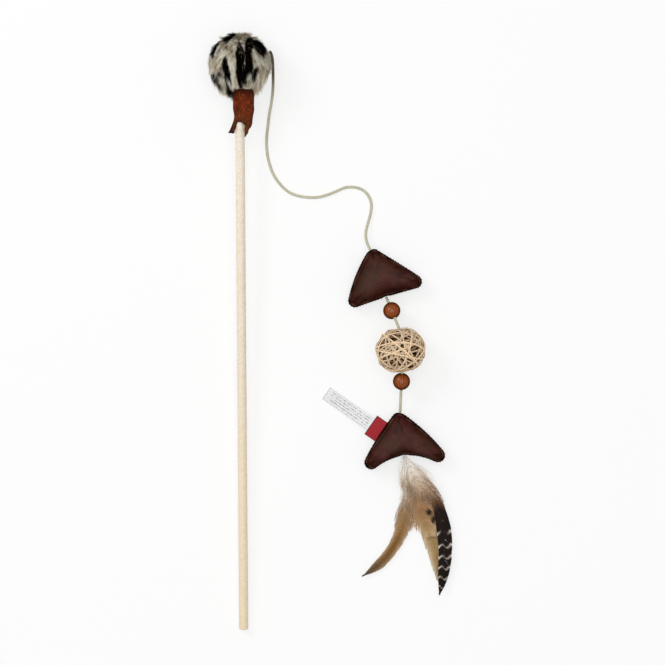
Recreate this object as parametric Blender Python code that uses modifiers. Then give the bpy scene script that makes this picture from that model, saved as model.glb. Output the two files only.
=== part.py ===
"""A cat's feather wand, laid out flat: a wooden stick with a fur pompom, and a cord that carries
two stuffed leather triangles, two wooden beads, a rattan ball and a bunch of feathers.

Metres, +Z up. The floor is z = 0, the stick runs along +Y, and the origin is the middle of the
layout on the floor."""

from math import acos, asin, atan2, ceil, cos, degrees, pi, radians, sin, sqrt

import bmesh
import bpy
import numpy as np
from mathutils import Matrix, Vector

# Clearances
GAP = 0.0003                    # between pieces that rest against each other
CORD_CLEARANCE = 0.00035        # round the cord in its holes and mouths
FLAT = 0.0005                   # how deep a soft piece is pressed flat on the floor

# Stick
STICK_LENGTH = 0.4877
STICK_DIAMETER = 0.008
STICK_EDGE = 0.0009             # rounding of the dowel's two ends
STICK_LEAN = radians(0.35)      # the stick lies this far from +Y, towards -X
BUTT_PLACE = (-0.0751, -0.2601)
HOLE_FROM_TIP = 0.008           # cord hole across the stick, inside the pompom

# Pompom and the neck that is bound to the stick
POMPOM_DIAMETER = 0.053
POMPOM_PAST_TIP = 0.006         # from the stick's end to the pompom's middle
FUR_DEPTH = 0.0065              # fur with its cloth backing
FILLING_CLEARANCE = 0.0007      # between a filling and the skin round it
NECK_WALL = 0.002
NECK_LENGTH = 0.0105
NECK_FILLET = 0.005
THREAD_DIAMETER = 0.0009
BINDING_LOOPS = 3
BINDING_PITCH = 0.0014
EXIT_ANGLE = radians(21.3)      # where the cord leaves the pompom, up from its right side
KNOT_DIAMETER = 0.0052

# Leather collar
COLLAR_WALL = 0.0015
COLLAR_FLARE = 0.0032           # how far the left tail bends away from the stick
# Length of the collar by angle from its front, positive to the right
COLLAR_EDGE = ((-180, 0.0260), (-92, 0.0330), (-62, 0.0342), (-34, 0.0330), (3, 0.0252),
               (30, 0.0367), (60, 0.0300), (92, 0.0225), (180, 0.0260))

# Cord
CORD_DIAMETER = 0.0025
# Route from the pompom to the upper triangle: x and y from the cord's exit, z from the floor
CORD_ROUTE = (
    (0.0018, -0.0045, 0.0262), (0.0026, -0.0094, 0.0256), (0.0029, -0.0180, 0.0236),
    (0.0029, -0.0267, 0.0204), (0.0025, -0.0354, 0.0163), (0.0012, -0.0450, 0.0115),
    (-0.0006, -0.0541, 0.0072), (-0.0018, -0.0633, 0.0040), (-0.0030, -0.0737, 0.0019),
    (-0.0030, -0.0824, 0.0013), (-0.0017, -0.0928, 0.0013), (0.0018, -0.1041, 0.0013),
    (0.0070, -0.1128, 0.0013), (0.0144, -0.1204, 0.0013), (0.0227, -0.1245, 0.0013),
    (0.0331, -0.1263, 0.0013), (0.0436, -0.1259, 0.0013), (0.0540, -0.1226, 0.0013),
    (0.0645, -0.1181, 0.0013), (0.0701, -0.1173, 0.0013), (0.0758, -0.1179, 0.0013),
    (0.0814, -0.1203, 0.0013), (0.0862, -0.1255, 0.0013), (0.0884, -0.1328, 0.0013),
    (0.0875, -0.1411, 0.0016), (0.0856, -0.1481, 0.0025), (0.0839, -0.1546, 0.0041),
    (0.0835, -0.1607, 0.0062), (0.0848, -0.1668, 0.0087),
)
CORD_POINTS = 52

# Stuffed triangles, each three corner rounds from the apex, and how far each side bows out
TRIANGLE_THICKNESS = 0.022
PANEL_WALL = 0.0011
SEAM_BAND = 0.0008              # straight edge of a panel at the seam
UPPER_CORNER = 0.0060
UPPER_LEFT = (-0.0160, -0.0400)
UPPER_RIGHT = (0.0370, -0.0233)
UPPER_BOWS = (0.0020, -0.0005, 0.0003)
UPPER_MOUTH_ANGLE = radians(118.7)
UPPER_MOUTH_ALONG = 0.49        # the lower cord's way out, along the lower side
LOWER_CORNER = 0.0062
LOWER_LEFT = (-0.0242, -0.0383)
LOWER_RIGHT = (0.0345, -0.0320)
LOWER_BOWS = (0.0012, -0.0083, 0.0018)
LOWER_MOUTH_ANGLE = radians(80)
FEATHER_MOUTH_ALONG = 0.50
MOUTH_REACH = 0.0030
KNOT_INSIDE = 0.0058            # from a mouth to the middle of the knot behind it

# Beads and rattan ball on the lower cord
BEAD_DIAMETER = 0.0150
BEAD_LIP = 0.0004
UPPER_BEAD_AT = 0.0133          # along the cord from the upper triangle
UPPER_BEAD_TO_BALL = 0.0100
BALL_DIAMETER = 0.0448
BALL_PRESSED = 0.87             # the ball is this much shorter along the cord
STRAND_DIAMETER = 0.0020
LAYER_STEP = 0.0029
# Each layer of the ball: the bare cap at its start and at its end, and its turns
BALL_LAYERS = ((32, 25, 5.2), (24, 25, 4.6), (28, 32, 4.6))
POINTS_PER_TURN = 24
THREADING = (75, 258)           # tilt and turn, in the winding, of the way that the cord takes
BALL_TO_BEAD = 0.0005
LOWER_BEAD_TO_TRIANGLE = 0.0206
HEADING_UPPER = radians(21.7)   # headings in the plan, from -Y towards +X
HEADING_BALL = radians(4.0)
HEADING_LOWER = radians(-2.3)

# Labels in the lower triangle's left seam
LABEL_ALONG = 0.40              # along the left side
LABEL_HEADING = radians(145)
CARE_LABEL = (0.0124, 0.058)
SIDE_LABEL = (0.0197, 0.0105)
CARE_LABEL_WALL = 0.0004
SIDE_LABEL_WALL = 0.0008
LABEL_REACHES_FLOOR = 0.045

# Feathers: quill height order, heading at the quill, plan offsets of bend and tip, widths
QUILL_DIAMETER = 0.0010
QUILL_RING = 0.00138
QUILL_INSIDE = 0.0080
LAYER_HEIGHT = 0.0013
VANE_WALL = 0.0005
VANE_CUP = 0.0005
DROOP_LENGTH = 0.060
# name: (ring slot, layer, bend x, bend y, tip x, tip y, half width, bare quill)
FEATHERS = {
    "feather_buff": (0, 0, 0.0070, -0.0531, 0.0296, -0.1075, 0.0070, 0.016),
    "feather_ginger": (5, 1, 0.0104, -0.0750, -0.0374, -0.1034, 0.0062, 0.020),
    "feather_brown": (1, 2, 0.0135, -0.0225, 0.0235, -0.0655, 0.0062, 0.014),
    "feather_barred": (2, 3, 0.0452, -0.0530, 0.0308, -0.1195, 0.0062, 0.022),
    "feather_down_left": (4, 4, -0.0010, -0.0200, -0.0020, -0.0440, 0.0060, 0.006),
    "feather_down_right": (3, 5, 0.0080, -0.0190, 0.0215, -0.0400, 0.0065, 0.006),
}

# Facets
ROUND = 32
PANEL_SPOKES = 36
PANEL_RINGS = 5
FILLING_SPOKES = 24
FILLING_RINGS = 4
VANE_STEPS = 14
BINDING_STEPS = 16

stick_radius = STICK_DIAMETER / 2
cord_radius = CORD_DIAMETER / 2
knot_radius = KNOT_DIAMETER / 2
pompom_radius = POMPOM_DIAMETER / 2
bead_radius = BEAD_DIAMETER / 2
pompom_along = STICK_LENGTH + POMPOM_PAST_TIP
seam_height = TRIANGLE_THICKNESS / 2 - FLAT


def collection(name):
    made = bpy.data.collections.new(name)
    bpy.context.scene.collection.children.link(made)
    return made


def clear_scene():
    for old in list(bpy.data.objects):
        bpy.data.objects.remove(old, do_unlink=True)


def material(name, colour, roughness):
    made = bpy.data.materials.new(name)
    made.use_nodes = True
    shader = made.node_tree.nodes["Principled BSDF"]
    shader.inputs["Base Color"].default_value = (*colour, 1.0)
    shader.inputs["Roughness"].default_value = roughness
    shader.inputs["Metallic"].default_value = 0.0
    return made


def add(name, data, look=None, parent=None, place=None):
    """A named object of the wand, placed in its parent's frame; a cutter has no look."""
    obj = bpy.data.objects.new(name, data)
    (PARTS if look else CUTTERS).objects.link(obj)
    if look:
        obj.data.materials.append(look)
    else:
        obj.hide_render = True
        obj.display_type = "WIRE"
    if parent:
        obj.parent = parent
    if place is not None:
        obj.matrix_local = place
    if look and isinstance(data, bpy.types.Mesh):
        data.shade_smooth()
        data.set_sharp_from_angle(angle=radians(40))
    return obj


def empty(name, place):
    obj = bpy.data.objects.new(name, None)
    PARTS.objects.link(obj)
    obj.matrix_world = place
    return obj


def joint(name, place, parent=None):
    """An empty on a joint's axis, which carries what moves there."""
    made = empty(name, Matrix.Translation(place))
    if parent:
        hang(made, parent)
    return made


def hang(obj, carrier):
    """Parents an object to what carries it, and leaves it in its place."""
    obj.parent = carrier
    obj.matrix_parent_inverse = carrier.matrix_world.inverted()
    return obj


def cut(obj, cutter):
    boolean = obj.modifiers.new("cut " + cutter.name, "BOOLEAN")
    boolean.operation = "DIFFERENCE"
    boolean.solver = "EXACT"
    boolean.object = cutter


def solidify(obj, wall, offset=-1.0):
    shell = obj.modifiers.new("wall", "SOLIDIFY")
    shell.thickness = wall
    shell.offset = offset
    shell.use_even_offset = True


def tube_curve(name, points, radii, sides=2):
    """A round tube through the points, with its own radius at each."""
    curve = bpy.data.curves.new(name, "CURVE")
    curve.dimensions = "3D"
    curve.bevel_depth = 1.0
    curve.bevel_resolution = sides
    curve.use_fill_caps = True
    spline = curve.splines.new("POLY")
    spline.points.add(len(points) - 1)
    for point, place, radius in zip(spline.points, points, radii):
        point.co = (*place, 1.0)
        point.radius = radius
    return curve


def meshed(curve, name):
    """A tube as a closed mesh, for a cutter."""
    obj = bpy.data.objects.new(name, curve)
    bpy.context.scene.collection.objects.link(obj)
    bpy.context.view_layer.update()
    made = bpy.data.meshes.new_from_object(obj.evaluated_get(bpy.context.evaluated_depsgraph_get()))
    bpy.data.objects.remove(obj)
    bm = bmesh.new()
    bm.from_mesh(made)
    bmesh.ops.remove_doubles(bm, verts=bm.verts, dist=0.00001)
    bmesh.ops.recalc_face_normals(bm, faces=bm.faces)
    bm.to_mesh(made)
    bm.free()
    return made


def domed(points, radius, start=True, end=True):
    """Points and radii of a tube whose ends are half balls round its first and last points."""
    points = [Vector(p) for p in points]
    radii = [radius] * len(points)
    angles = [radians(a) for a in (38, 66, 84)]
    if start:
        back = (points[0] - points[1]).normalized()
        points = [points[0] + back * radius * sin(a) for a in reversed(angles)] + points
        radii = [radius * cos(a) for a in reversed(angles)] + radii
    if end:
        on = (points[-1] - points[-2]).normalized()
        points = points + [points[-1] + on * radius * sin(a) for a in angles]
        radii = radii + [radius * cos(a) for a in angles]
    return points, radii


def smooth_points(route, count):
    """Evenly spaced points on a smooth curve through the route's own points."""
    p = np.array([tuple(v) for v in route], float)
    p = np.vstack([2 * p[0] - p[1], p, 2 * p[-1] - p[-2]])
    t = np.linspace(0, 1, 40, endpoint=False)[:, None]
    dense = []
    for a, b, c, d in zip(p[:-3], p[1:-2], p[2:-1], p[3:]):
        dense.append(0.5 * (2 * b + (c - a) * t + (2 * a - 5 * b + 4 * c - d) * t ** 2
                            + (3 * b - 3 * c + d - a) * t ** 3))
    dense = np.vstack(dense + [p[-2:-1]])
    along = np.concatenate([[0], np.cumsum(np.linalg.norm(np.diff(dense, axis=0), axis=1))])
    at = np.linspace(0, along[-1], count)
    return np.column_stack([np.interp(at, along, dense[:, i]) for i in range(3)]), along[-1]


def turned(name, profile, look, parent, place=None, steps=ROUND):
    """A closed profile in X and Z turned round Z, its outer side running down."""
    bm = bmesh.new()
    verts = [bm.verts.new((x, 0, z)) for x, z in profile]
    closed = profile[0][0] > 0
    for a, b in zip(verts, verts[1:] + ([verts[0]] if closed else [])):
        bm.edges.new((a, b))
    mesh = bpy.data.meshes.new(name)
    bm.to_mesh(mesh)
    bm.free()
    obj = add(name, mesh, look, parent, place)
    screw = obj.modifiers.new("turn", "SCREW")
    screw.steps = screw.render_steps = steps
    screw.use_merge_vertices = True
    screw.merge_threshold = 0.00002
    return obj


def arc(radius, start, end, count, centre=(0, 0)):
    """Points of a circle in the plane, from one angle to another in degrees."""
    angles = np.radians(np.linspace(start, end, count))
    return [(centre[0] + radius * cos(a), centre[1] + radius * sin(a)) for a in angles]


def make_floor_cutter():
    bm = bmesh.new()
    bmesh.ops.create_cube(bm, size=1.0, matrix=Matrix.Translation((0, 0, -0.5)))
    mesh = bpy.data.meshes.new("floor")
    bm.to_mesh(mesh)
    bm.free()
    return add("floor_cutter", mesh)


def wand_frame():
    """A frame at the middle of the butt, Z up the stick, X to the right and -Y to the sky."""
    rise = asin((pompom_radius - FLAT - stick_radius) / pompom_along)
    turn = Matrix.Rotation(STICK_LEAN, 4, "Z") @ Matrix.Rotation(rise - pi / 2, 4, "X")
    return empty("wand_frame", Matrix.Translation((*BUTT_PLACE, stick_radius)) @ turn)


def make_stick(wand, look):
    bm = bmesh.new()
    bmesh.ops.create_cone(bm, cap_ends=True, segments=ROUND, radius1=stick_radius,
                          radius2=stick_radius, depth=STICK_LENGTH,
                          matrix=Matrix.Translation((0, 0, STICK_LENGTH / 2)))
    rims = [e for e in bm.edges if abs(e.verts[0].co.z - e.verts[1].co.z) < 1e-6]
    bmesh.ops.bevel(bm, geom=rims, offset=STICK_EDGE, segments=2, profile=0.5, affect="EDGES")
    mesh = bpy.data.meshes.new("stick")
    bm.to_mesh(mesh)
    bm.free()
    stick = add("stick", mesh, look, wand)
    bm = bmesh.new()
    across = Matrix.Translation((0, 0, STICK_LENGTH - HOLE_FROM_TIP)) @ Matrix.Rotation(pi / 2, 4, "Y")
    bore = cord_radius + CORD_CLEARANCE
    bmesh.ops.create_cone(bm, cap_ends=True, segments=16, radius1=bore, radius2=bore,
                          depth=STICK_DIAMETER * 2, matrix=across)
    mesh = bpy.data.meshes.new("stick_hole")
    bm.to_mesh(mesh)
    bm.free()
    cut(stick, add("stick_hole_cutter", mesh, parent=wand))


def anchor_route():
    """The cord inside the pompom: a knot, the stick's hole, and the way out through the fur."""
    hole = STICK_LENGTH - HOLE_FROM_TIP
    out = Vector((cos(EXIT_ANGLE), 0, sin(EXIT_ANGLE)))
    middle = Vector((0, 0, pompom_along))
    end = middle + out * (pompom_radius - cord_radius)
    inner = middle + out * (pompom_radius - FUR_DEPTH * 1.4)
    knot = Vector((-stick_radius - GAP - knot_radius, 0, hole))
    route = [knot, Vector((-stick_radius, 0, hole)), Vector((0, 0, hole)),
             Vector((stick_radius, 0, hole)), Vector((stick_radius * 1.5, 0, hole)),
             Vector((inner.x * 0.62, 0, (hole * 0.62 + inner.z * 0.38))), inner, end]
    points, _ = smooth_points(route, 16)
    return knot, points


def knot_stations(knot, along):
    """Points across a knot, close enough for it to come out round."""
    return [knot + along * knot_radius * share for share in (-0.95, -0.75, -0.4, 0, 0.4, 0.75, 0.95)]


def cord_with_knots(name, points, knots, extra=0.0):
    """A cord's points and radii, domed at both ends, swelling to a knot at each given place."""
    points, radii = domed(points, cord_radius)
    swollen = []
    for point, radius in zip(points, radii):
        near = min((point - Vector(k)).length for k in knots)
        bulge = sqrt(max(knot_radius ** 2 - near ** 2, 0))
        swollen.append(max(radius, bulge) + extra)
    return tube_curve(name, points, swollen)


def make_anchor(wand, look):
    knot, points = anchor_route()
    points = knot_stations(knot, Vector((1, 0, 0))) + [Vector(p) for p in points[2:]]
    add("anchor_cord", cord_with_knots("anchor_cord", points, [knot]), look, wand)
    wide = meshed(cord_with_knots("anchor_room", points, [knot], CORD_CLEARANCE), "anchor_room")
    return add("anchor_room_cutter", wide, parent=wand)


def make_pompom(wand, fur, filling, thread, floor, room):
    """Fur cloth gathered over a ball of filling, its neck bound to the stick with thread."""
    neck = stick_radius + GAP + NECK_WALL
    inside = pompom_radius - FUR_DEPTH
    fillet_x = neck + NECK_FILLET
    fillet_z = -sqrt((pompom_radius + NECK_FILLET) ** 2 - fillet_x ** 2)
    lean = degrees(atan2(-fillet_z, fillet_x))
    neck_end = fillet_z - NECK_LENGTH
    bore = stick_radius + GAP
    mouth = degrees(acos(bore / inside))
    outer = arc(pompom_radius, 90, -lean, 13)
    outer[0] = (0, pompom_radius)
    bend = arc(NECK_FILLET, 180 - lean, 180, 3, (fillet_x, fillet_z))[1:]
    down = [(neck, neck_end), (bore, neck_end)]
    back = arc(inside, -mouth, 90, 10)
    back[-1] = (0, inside)
    middle = Matrix.Translation((0, 0, pompom_along))
    cover = turned("pompom_cover", outer + bend + down + back, fur, wand, middle, 24)
    cut(cover, floor)
    cut(cover, room)
    ball = inside - FILLING_CLEARANCE
    top = STICK_LENGTH - pompom_along + GAP
    edge = degrees(acos(bore / ball))
    core = arc(ball, 90, -edge, 8)
    core[0] = (0, ball)
    core += [(bore, top), (0, top)]
    stuffing = turned("pompom_filling", core, filling, wand, middle, 16)
    cut(stuffing, room)
    ring = neck + GAP + THREAD_DIAMETER / 2
    first = pompom_along + neck_end + THREAD_DIAMETER
    winding = []
    for i in range(BINDING_LOOPS * BINDING_STEPS + 1):
        turn = 2 * pi * i / BINDING_STEPS
        climb = BINDING_PITCH * i / BINDING_STEPS
        winding.append((ring * cos(turn), ring * sin(turn), first + climb))
    print("neck binding: gap between turns mm", round((BINDING_PITCH - THREAD_DIAMETER) * 1000, 2))
    add("neck_binding", tube_curve("neck_binding", winding, [THREAD_DIAMETER / 2] * len(winding), 1),
        thread, wand)
    return ring + THREAD_DIAMETER / 2


def collar_length(angle):
    """The collar's length at an angle from its front, eased between the named points."""
    for (a, low), (b, high) in zip(COLLAR_EDGE, COLLAR_EDGE[1:]):
        if a <= angle <= b:
            t = (angle - a) / (b - a)
            return low + (high - low) * (1 - cos(pi * t)) / 2
    return COLLAR_EDGE[-1][1]


def make_collar(wand, look, binding_radius):
    """A leather strip rolled round the bound neck, cut to an arch and two tails below."""
    radius = binding_radius + GAP + COLLAR_WALL
    top = pompom_along - pompom_radius - GAP
    around, down = 32, 6
    bm = bmesh.new()
    bmesh.ops.create_cone(bm, cap_ends=False, segments=around, radius1=1, radius2=1, depth=1)
    rails = [e for e in bm.edges if abs(e.verts[0].co.z - e.verts[1].co.z) > 0.5]
    bmesh.ops.subdivide_edges(bm, edges=rails, cuts=down - 1, use_grid_fill=True)
    for vert in bm.verts:
        angle = degrees(atan2(vert.co.x, -vert.co.y))
        fall = 0.5 - vert.co.z
        side = max(0.0, cos(radians(min(90.0, abs(angle + 68) * 1.6))))
        reach = radius + COLLAR_FLARE * side ** 2 * fall ** 3
        vert.co = (reach * sin(radians(angle)), -reach * cos(radians(angle)),
                   top - collar_length(angle) * fall)
    bmesh.ops.recalc_face_normals(bm, faces=bm.faces)
    mesh = bpy.data.meshes.new("collar")
    bm.to_mesh(mesh)
    bm.free()
    solidify(add("collar", mesh, look, wand), COLLAR_WALL)


def side_control(a, b, radius, bow):
    """The bending point of a side between two corner rounds, out by its bow."""
    run = b - a
    out = Vector((run.y, -run.x)).normalized()
    return (a + b) / 2 + out * (radius + 2 * bow)


def tangent_angle(centre, target, radius, leaving):
    """Where a line from the target touches a round, for an outline that runs anticlockwise."""
    to = target - centre
    swing = acos(min(1.0, radius / to.length))
    return atan2(to.y, to.x) + (-swing if leaving else swing)


def triangle_sides(corners, bows, radius):
    """Each side as its start, bending point and end: a curve that leaves both rounds smoothly."""
    sides = []
    for i, bow in enumerate(bows):
        a, b = corners[i], corners[(i + 1) % 3]
        bend = side_control(a, b, radius, bow)
        leave = tangent_angle(a, bend, radius, True)
        arrive = tangent_angle(b, bend, radius, False)
        sides.append((a + radius * Vector((cos(leave), sin(leave))), bend,
                      b + radius * Vector((cos(arrive), sin(arrive))), leave, arrive))
    return sides


def on_side(side, t):
    """A point of a side and the direction out of it."""
    a, bend, b = side[:3]
    point = a * (1 - t) ** 2 + bend * 2 * t * (1 - t) + b * t ** 2
    run = (bend - a) * (1 - t) + (b - bend) * t
    return point, Vector((run.y, -run.x)).normalized()


def triangle_outline(corners, bows, radius, spokes):
    """The outline at even steps: three rounds and three bowed sides."""
    sides = triangle_sides(corners, bows, radius)
    dense = []
    for i in range(3):
        corner, before, after = corners[i], sides[i - 1], sides[i]
        sweep = (after[3] - before[4]) % (2 * pi)
        for step in range(12):
            angle = before[4] + sweep * step / 12
            dense.append(corner + radius * Vector((cos(angle), sin(angle))))
        dense += [on_side(after, step / 24)[0] for step in range(24)]
    p = np.array([tuple(v) for v in dense + dense[:1]])
    along = np.concatenate([[0], np.cumsum(np.linalg.norm(np.diff(p, axis=0), axis=1))])
    at = np.linspace(0, along[-1], spokes, endpoint=False)
    return [Vector((np.interp(v, along, p[:, 0]), np.interp(v, along, p[:, 1]))) for v in at]


def swollen_mesh(name, outline, crown, height, low, high, rings):
    """A stuffed form over an outline: a ball whose spokes run to the outline's points. Its
    rings start with a straight band at the seam and close over the crown. low and high give
    the seam's lower and upper edges, None for a half that is left open."""
    bm = bmesh.new()
    spokes = len(outline)
    bmesh.ops.create_uvsphere(bm, u_segments=spokes, v_segments=2 * rings, radius=1)
    for vert in list(bm.verts):
        if (low is None and vert.co.z < -1e-5) or (high is None and vert.co.z > 1e-5):
            bm.verts.remove(vert)
            continue
        latitude = asin(max(-1.0, min(1.0, vert.co.z)))
        ring = round(abs(latitude) / (pi / 2) * rings)
        spoke = round(atan2(vert.co.y, vert.co.x) / (2 * pi) * spokes) % spokes
        rise = max(ring - 1, 0) / (rings - 1) * pi / 2
        reach = cos(rise) ** 0.8 if ring < rings else 0.0
        lift = (SEAM_BAND if ring else 0.0) + (height - SEAM_BAND) * sin(rise)
        plan = crown + (outline[spoke] - crown) * reach
        if vert.co.z < -1e-5 or high is None:
            vert.co = (plan.x, plan.y, low - lift)
        elif vert.co.z > 1e-5 or low is None:
            vert.co = (plan.x, plan.y, high + lift)
        else:
            vert.co = (plan.x, plan.y, (low + high) / 2)
    mesh = bpy.data.meshes.new(name)
    bm.to_mesh(mesh)
    bm.free()
    return mesh


def bore_cutter(name, place, direction, radius, reach):
    """A round bore through a place, along a direction, as far each way as the reach."""
    bm = bmesh.new()
    bmesh.ops.create_cone(bm, cap_ends=True, segments=16, radius1=radius, radius2=radius,
                          depth=2 * reach, matrix=frame_along(place, direction))
    mesh = bpy.data.meshes.new(name)
    bm.to_mesh(mesh)
    bm.free()
    return add(name, mesh)


class Triangle:
    """A stuffed triangle: two leather panels sewn at mid height, with filling between them."""

    def __init__(self, swing, prefix, mouth_angle, radius, left, right, bows, looks, floor):
        self.prefix = prefix
        mouth = swing.matrix_world.translation.to_2d()
        out = Vector((cos(mouth_angle), sin(mouth_angle)))
        apex = mouth - out * radius
        self.corners = [apex, apex + Vector(left), apex + Vector(right)]
        self.crown = apex * 0.5 + self.corners[1] * 0.25 + self.corners[2] * 0.25
        self.sides = triangle_sides(self.corners, bows, radius)
        height = TRIANGLE_THICKNESS / 2
        outline = triangle_outline(self.corners, bows, radius, PANEL_SPOKES)
        half = GAP / 2
        leather, filling = looks
        self.front = add(prefix + "_front_panel",
                         swollen_mesh("front", outline, self.crown, height - half, None,
                                      seam_height + half, PANEL_RINGS), leather)
        self.back = add(prefix + "_back_panel",
                        swollen_mesh("back", outline, self.crown, height - half,
                                     seam_height - half, None, PANEL_RINGS), leather)
        for panel in (self.front, self.back):
            solidify(panel, PANEL_WALL)
        cut(self.back, floor)
        inset = PANEL_WALL + FILLING_CLEARANCE
        inner = triangle_outline(self.corners, bows, radius - inset, FILLING_SPOKES)
        self.filling = add(prefix + "_filling",
                           swollen_mesh("filling", inner, self.crown, height - inset,
                                        seam_height, seam_height, FILLING_RINGS), filling)
        for piece in (self.front, self.back, self.filling):
            hang(piece, swing)

    def open_mouth(self, name, place, direction, radius):
        """A hole through the seam where a cord or the quills pass."""
        hole = bore_cutter(f"{self.prefix}_{name}_cutter", place, direction, radius, MOUTH_REACH)
        cut(self.front, hole)
        cut(self.back, hole)


def seam_point(point):
    return Vector((point.x, point.y, seam_height))


def inner_cord(name, start, inward, knots, far_mouth, look, filling, swing):
    """The cord inside a triangle: from just behind its mouth, through its knots in order, to
    just behind the far mouth, or to its last knot where there is none."""
    behind = 2 * cord_radius + GAP
    points = [start + inward * behind]
    for knot in knots:
        points += knot_stations(knot, inward)
    if far_mouth:
        points.append(far_mouth - inward * behind)
    hang(add(name, cord_with_knots(name, points, knots), look), swing)
    wide = meshed(cord_with_knots(name, points, knots, CORD_CLEARANCE), name + "_room")
    cut(filling, add(name + "_room_cutter", wide))


def heading_vector(heading, slope):
    return Vector((sin(heading) * cos(slope), -cos(heading) * cos(slope), sin(slope)))


def frame_along(place, direction):
    """A frame at the place with its Z along the direction."""
    return Matrix.Translation(place) @ direction.to_track_quat("Z", "Y").to_matrix().to_4x4()


def make_bead(name, place, direction, look):
    bore = cord_radius + CORD_CLEARANCE
    edge = degrees(asin((bore + BEAD_LIP) / bead_radius))
    profile = arc(bead_radius, 90 - edge, edge - 90, 11)
    half = bead_radius * cos(radians(edge)) - BEAD_LIP * 0.5
    profile += [(bore, -half), (bore, half)]
    return turned(name, profile, look, None, frame_along(place, direction), 24)


def ball_winding():
    """One strand wound in layers, each a spiral down from one bare cap to the other about its
    own axis. The next layer's axis is such that its first turn touches the last turn of the
    one before, running the same way, and there the strand sinks to the next layer. The ball is
    rolled about the cord until its widest point is underneath; its reach there comes with it."""
    axis, side = np.array([0.0, 0.0, 1.0]), np.array([1.0, 0.0, 0.0])
    directions, radii = [], []
    for level, (first_cap, last_cap, turns) in enumerate(BALL_LAYERS):
        count = round(POINTS_PER_TURN * turns)
        t = np.linspace(0, 1, count, endpoint=level == len(BALL_LAYERS) - 1)
        latitude = np.radians(first_cap - 90 + (180 - first_cap - last_cap) * t)
        around = 2 * pi * turns * t
        other = np.cross(axis, side)
        directions.append(np.outer(np.cos(latitude) * np.cos(around), side)
                          + np.outer(np.cos(latitude) * np.sin(around), other)
                          + np.outer(np.sin(latitude), axis))
        radii += [BALL_DIAMETER / 2 - STRAND_DIAMETER / 2 - level * LAYER_STEP] * count
        if level + 1 < len(BALL_LAYERS):
            out = cos(2 * pi * turns) * side + sin(2 * pi * turns) * other
            last = radians(90 - last_cap)
            end = cos(last) * out + sin(last) * axis
            away = sin(last) * out - cos(last) * axis
            cap = radians(BALL_LAYERS[level + 1][0])
            axis = -(cos(cap) * end + sin(cap) * away)
            side = end - axis * (end @ axis)
            side = side / np.linalg.norm(side)
    sink = 7
    weights = np.hanning(2 * sink + 1)
    radii = np.convolve(np.pad(radii, sink, mode="edge"), weights / weights.sum(), mode="valid")
    points = np.concatenate(directions) * radii[:, None]
    tilt, turn = np.radians(THREADING)
    way = Vector((sin(tilt) * cos(turn), sin(tilt) * sin(turn), cos(tilt)))
    square = np.array(way.rotation_difference(Vector((0, 0, 1))).to_matrix())
    points = points @ square.T * (1, 1, BALL_PRESSED)
    reach = np.hypot(points[:, 0], points[:, 1])
    lowest = points[reach.argmax()]
    roll = Matrix.Rotation(-pi / 2 - atan2(lowest[1], lowest[0]), 3, "Z")
    return points @ np.array(roll).T, float(reach.max())


def print_least_gap(points, diameter):
    apart = np.linalg.norm(points[:, None] - points[None], axis=-1)
    index = np.arange(len(points))
    least = apart[np.abs(index[:, None] - index[None]) > 9].min() - diameter
    print("rattan ball: least gap of the strand to itself mm", round(float(least) * 1000, 2))


def droop(distance, start, end, reach):
    """Height of something limp that leaves the seam level and comes down to rest."""
    t = min(distance / reach, 1.0)
    return start + (end - start) * (1 - cos(pi * t)) / 2


def make_label(name, root, heading, size, wall, lift, look):
    """A woven label sewn in by its near edge, bending down to the floor."""
    width, length = size
    out = Vector((cos(heading), sin(heading), 0))
    across = Vector((-out.y, out.x, 0))
    steps = max(4, ceil(length / 0.004))
    bm = bmesh.new()
    bmesh.ops.create_grid(bm, x_segments=steps, y_segments=2, size=0.5)
    for vert in bm.verts:
        run = (vert.co.x + 0.5) * length
        plan = root + out * run + across * (vert.co.y * width)
        level = droop(run, root.z, CARE_LABEL_WALL, LABEL_REACHES_FLOOR)
        vert.co = (plan.x, plan.y, level + lift)
    mesh = bpy.data.meshes.new(name)
    bm.to_mesh(mesh)
    bm.free()
    label = add(name, mesh, look)
    solidify(label, wall, 0.0)
    return label


def bezier(a, bend, b, t):
    return a * (1 - t) ** 2 + bend * 2 * t * (1 - t) + b * t ** 2


def feather_widths(t, bare, half_width):
    """Half width along a feather: a quill, then a vane that swells fast and ends in a point."""
    if t <= bare:
        return QUILL_DIAMETER / 2
    s = (t - bare) / (1 - bare)
    vane = half_width * (sin(pi * s ** 0.62) ** 0.75 if s < 1 else 0)
    return max(QUILL_DIAMETER / 2, vane)


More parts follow.
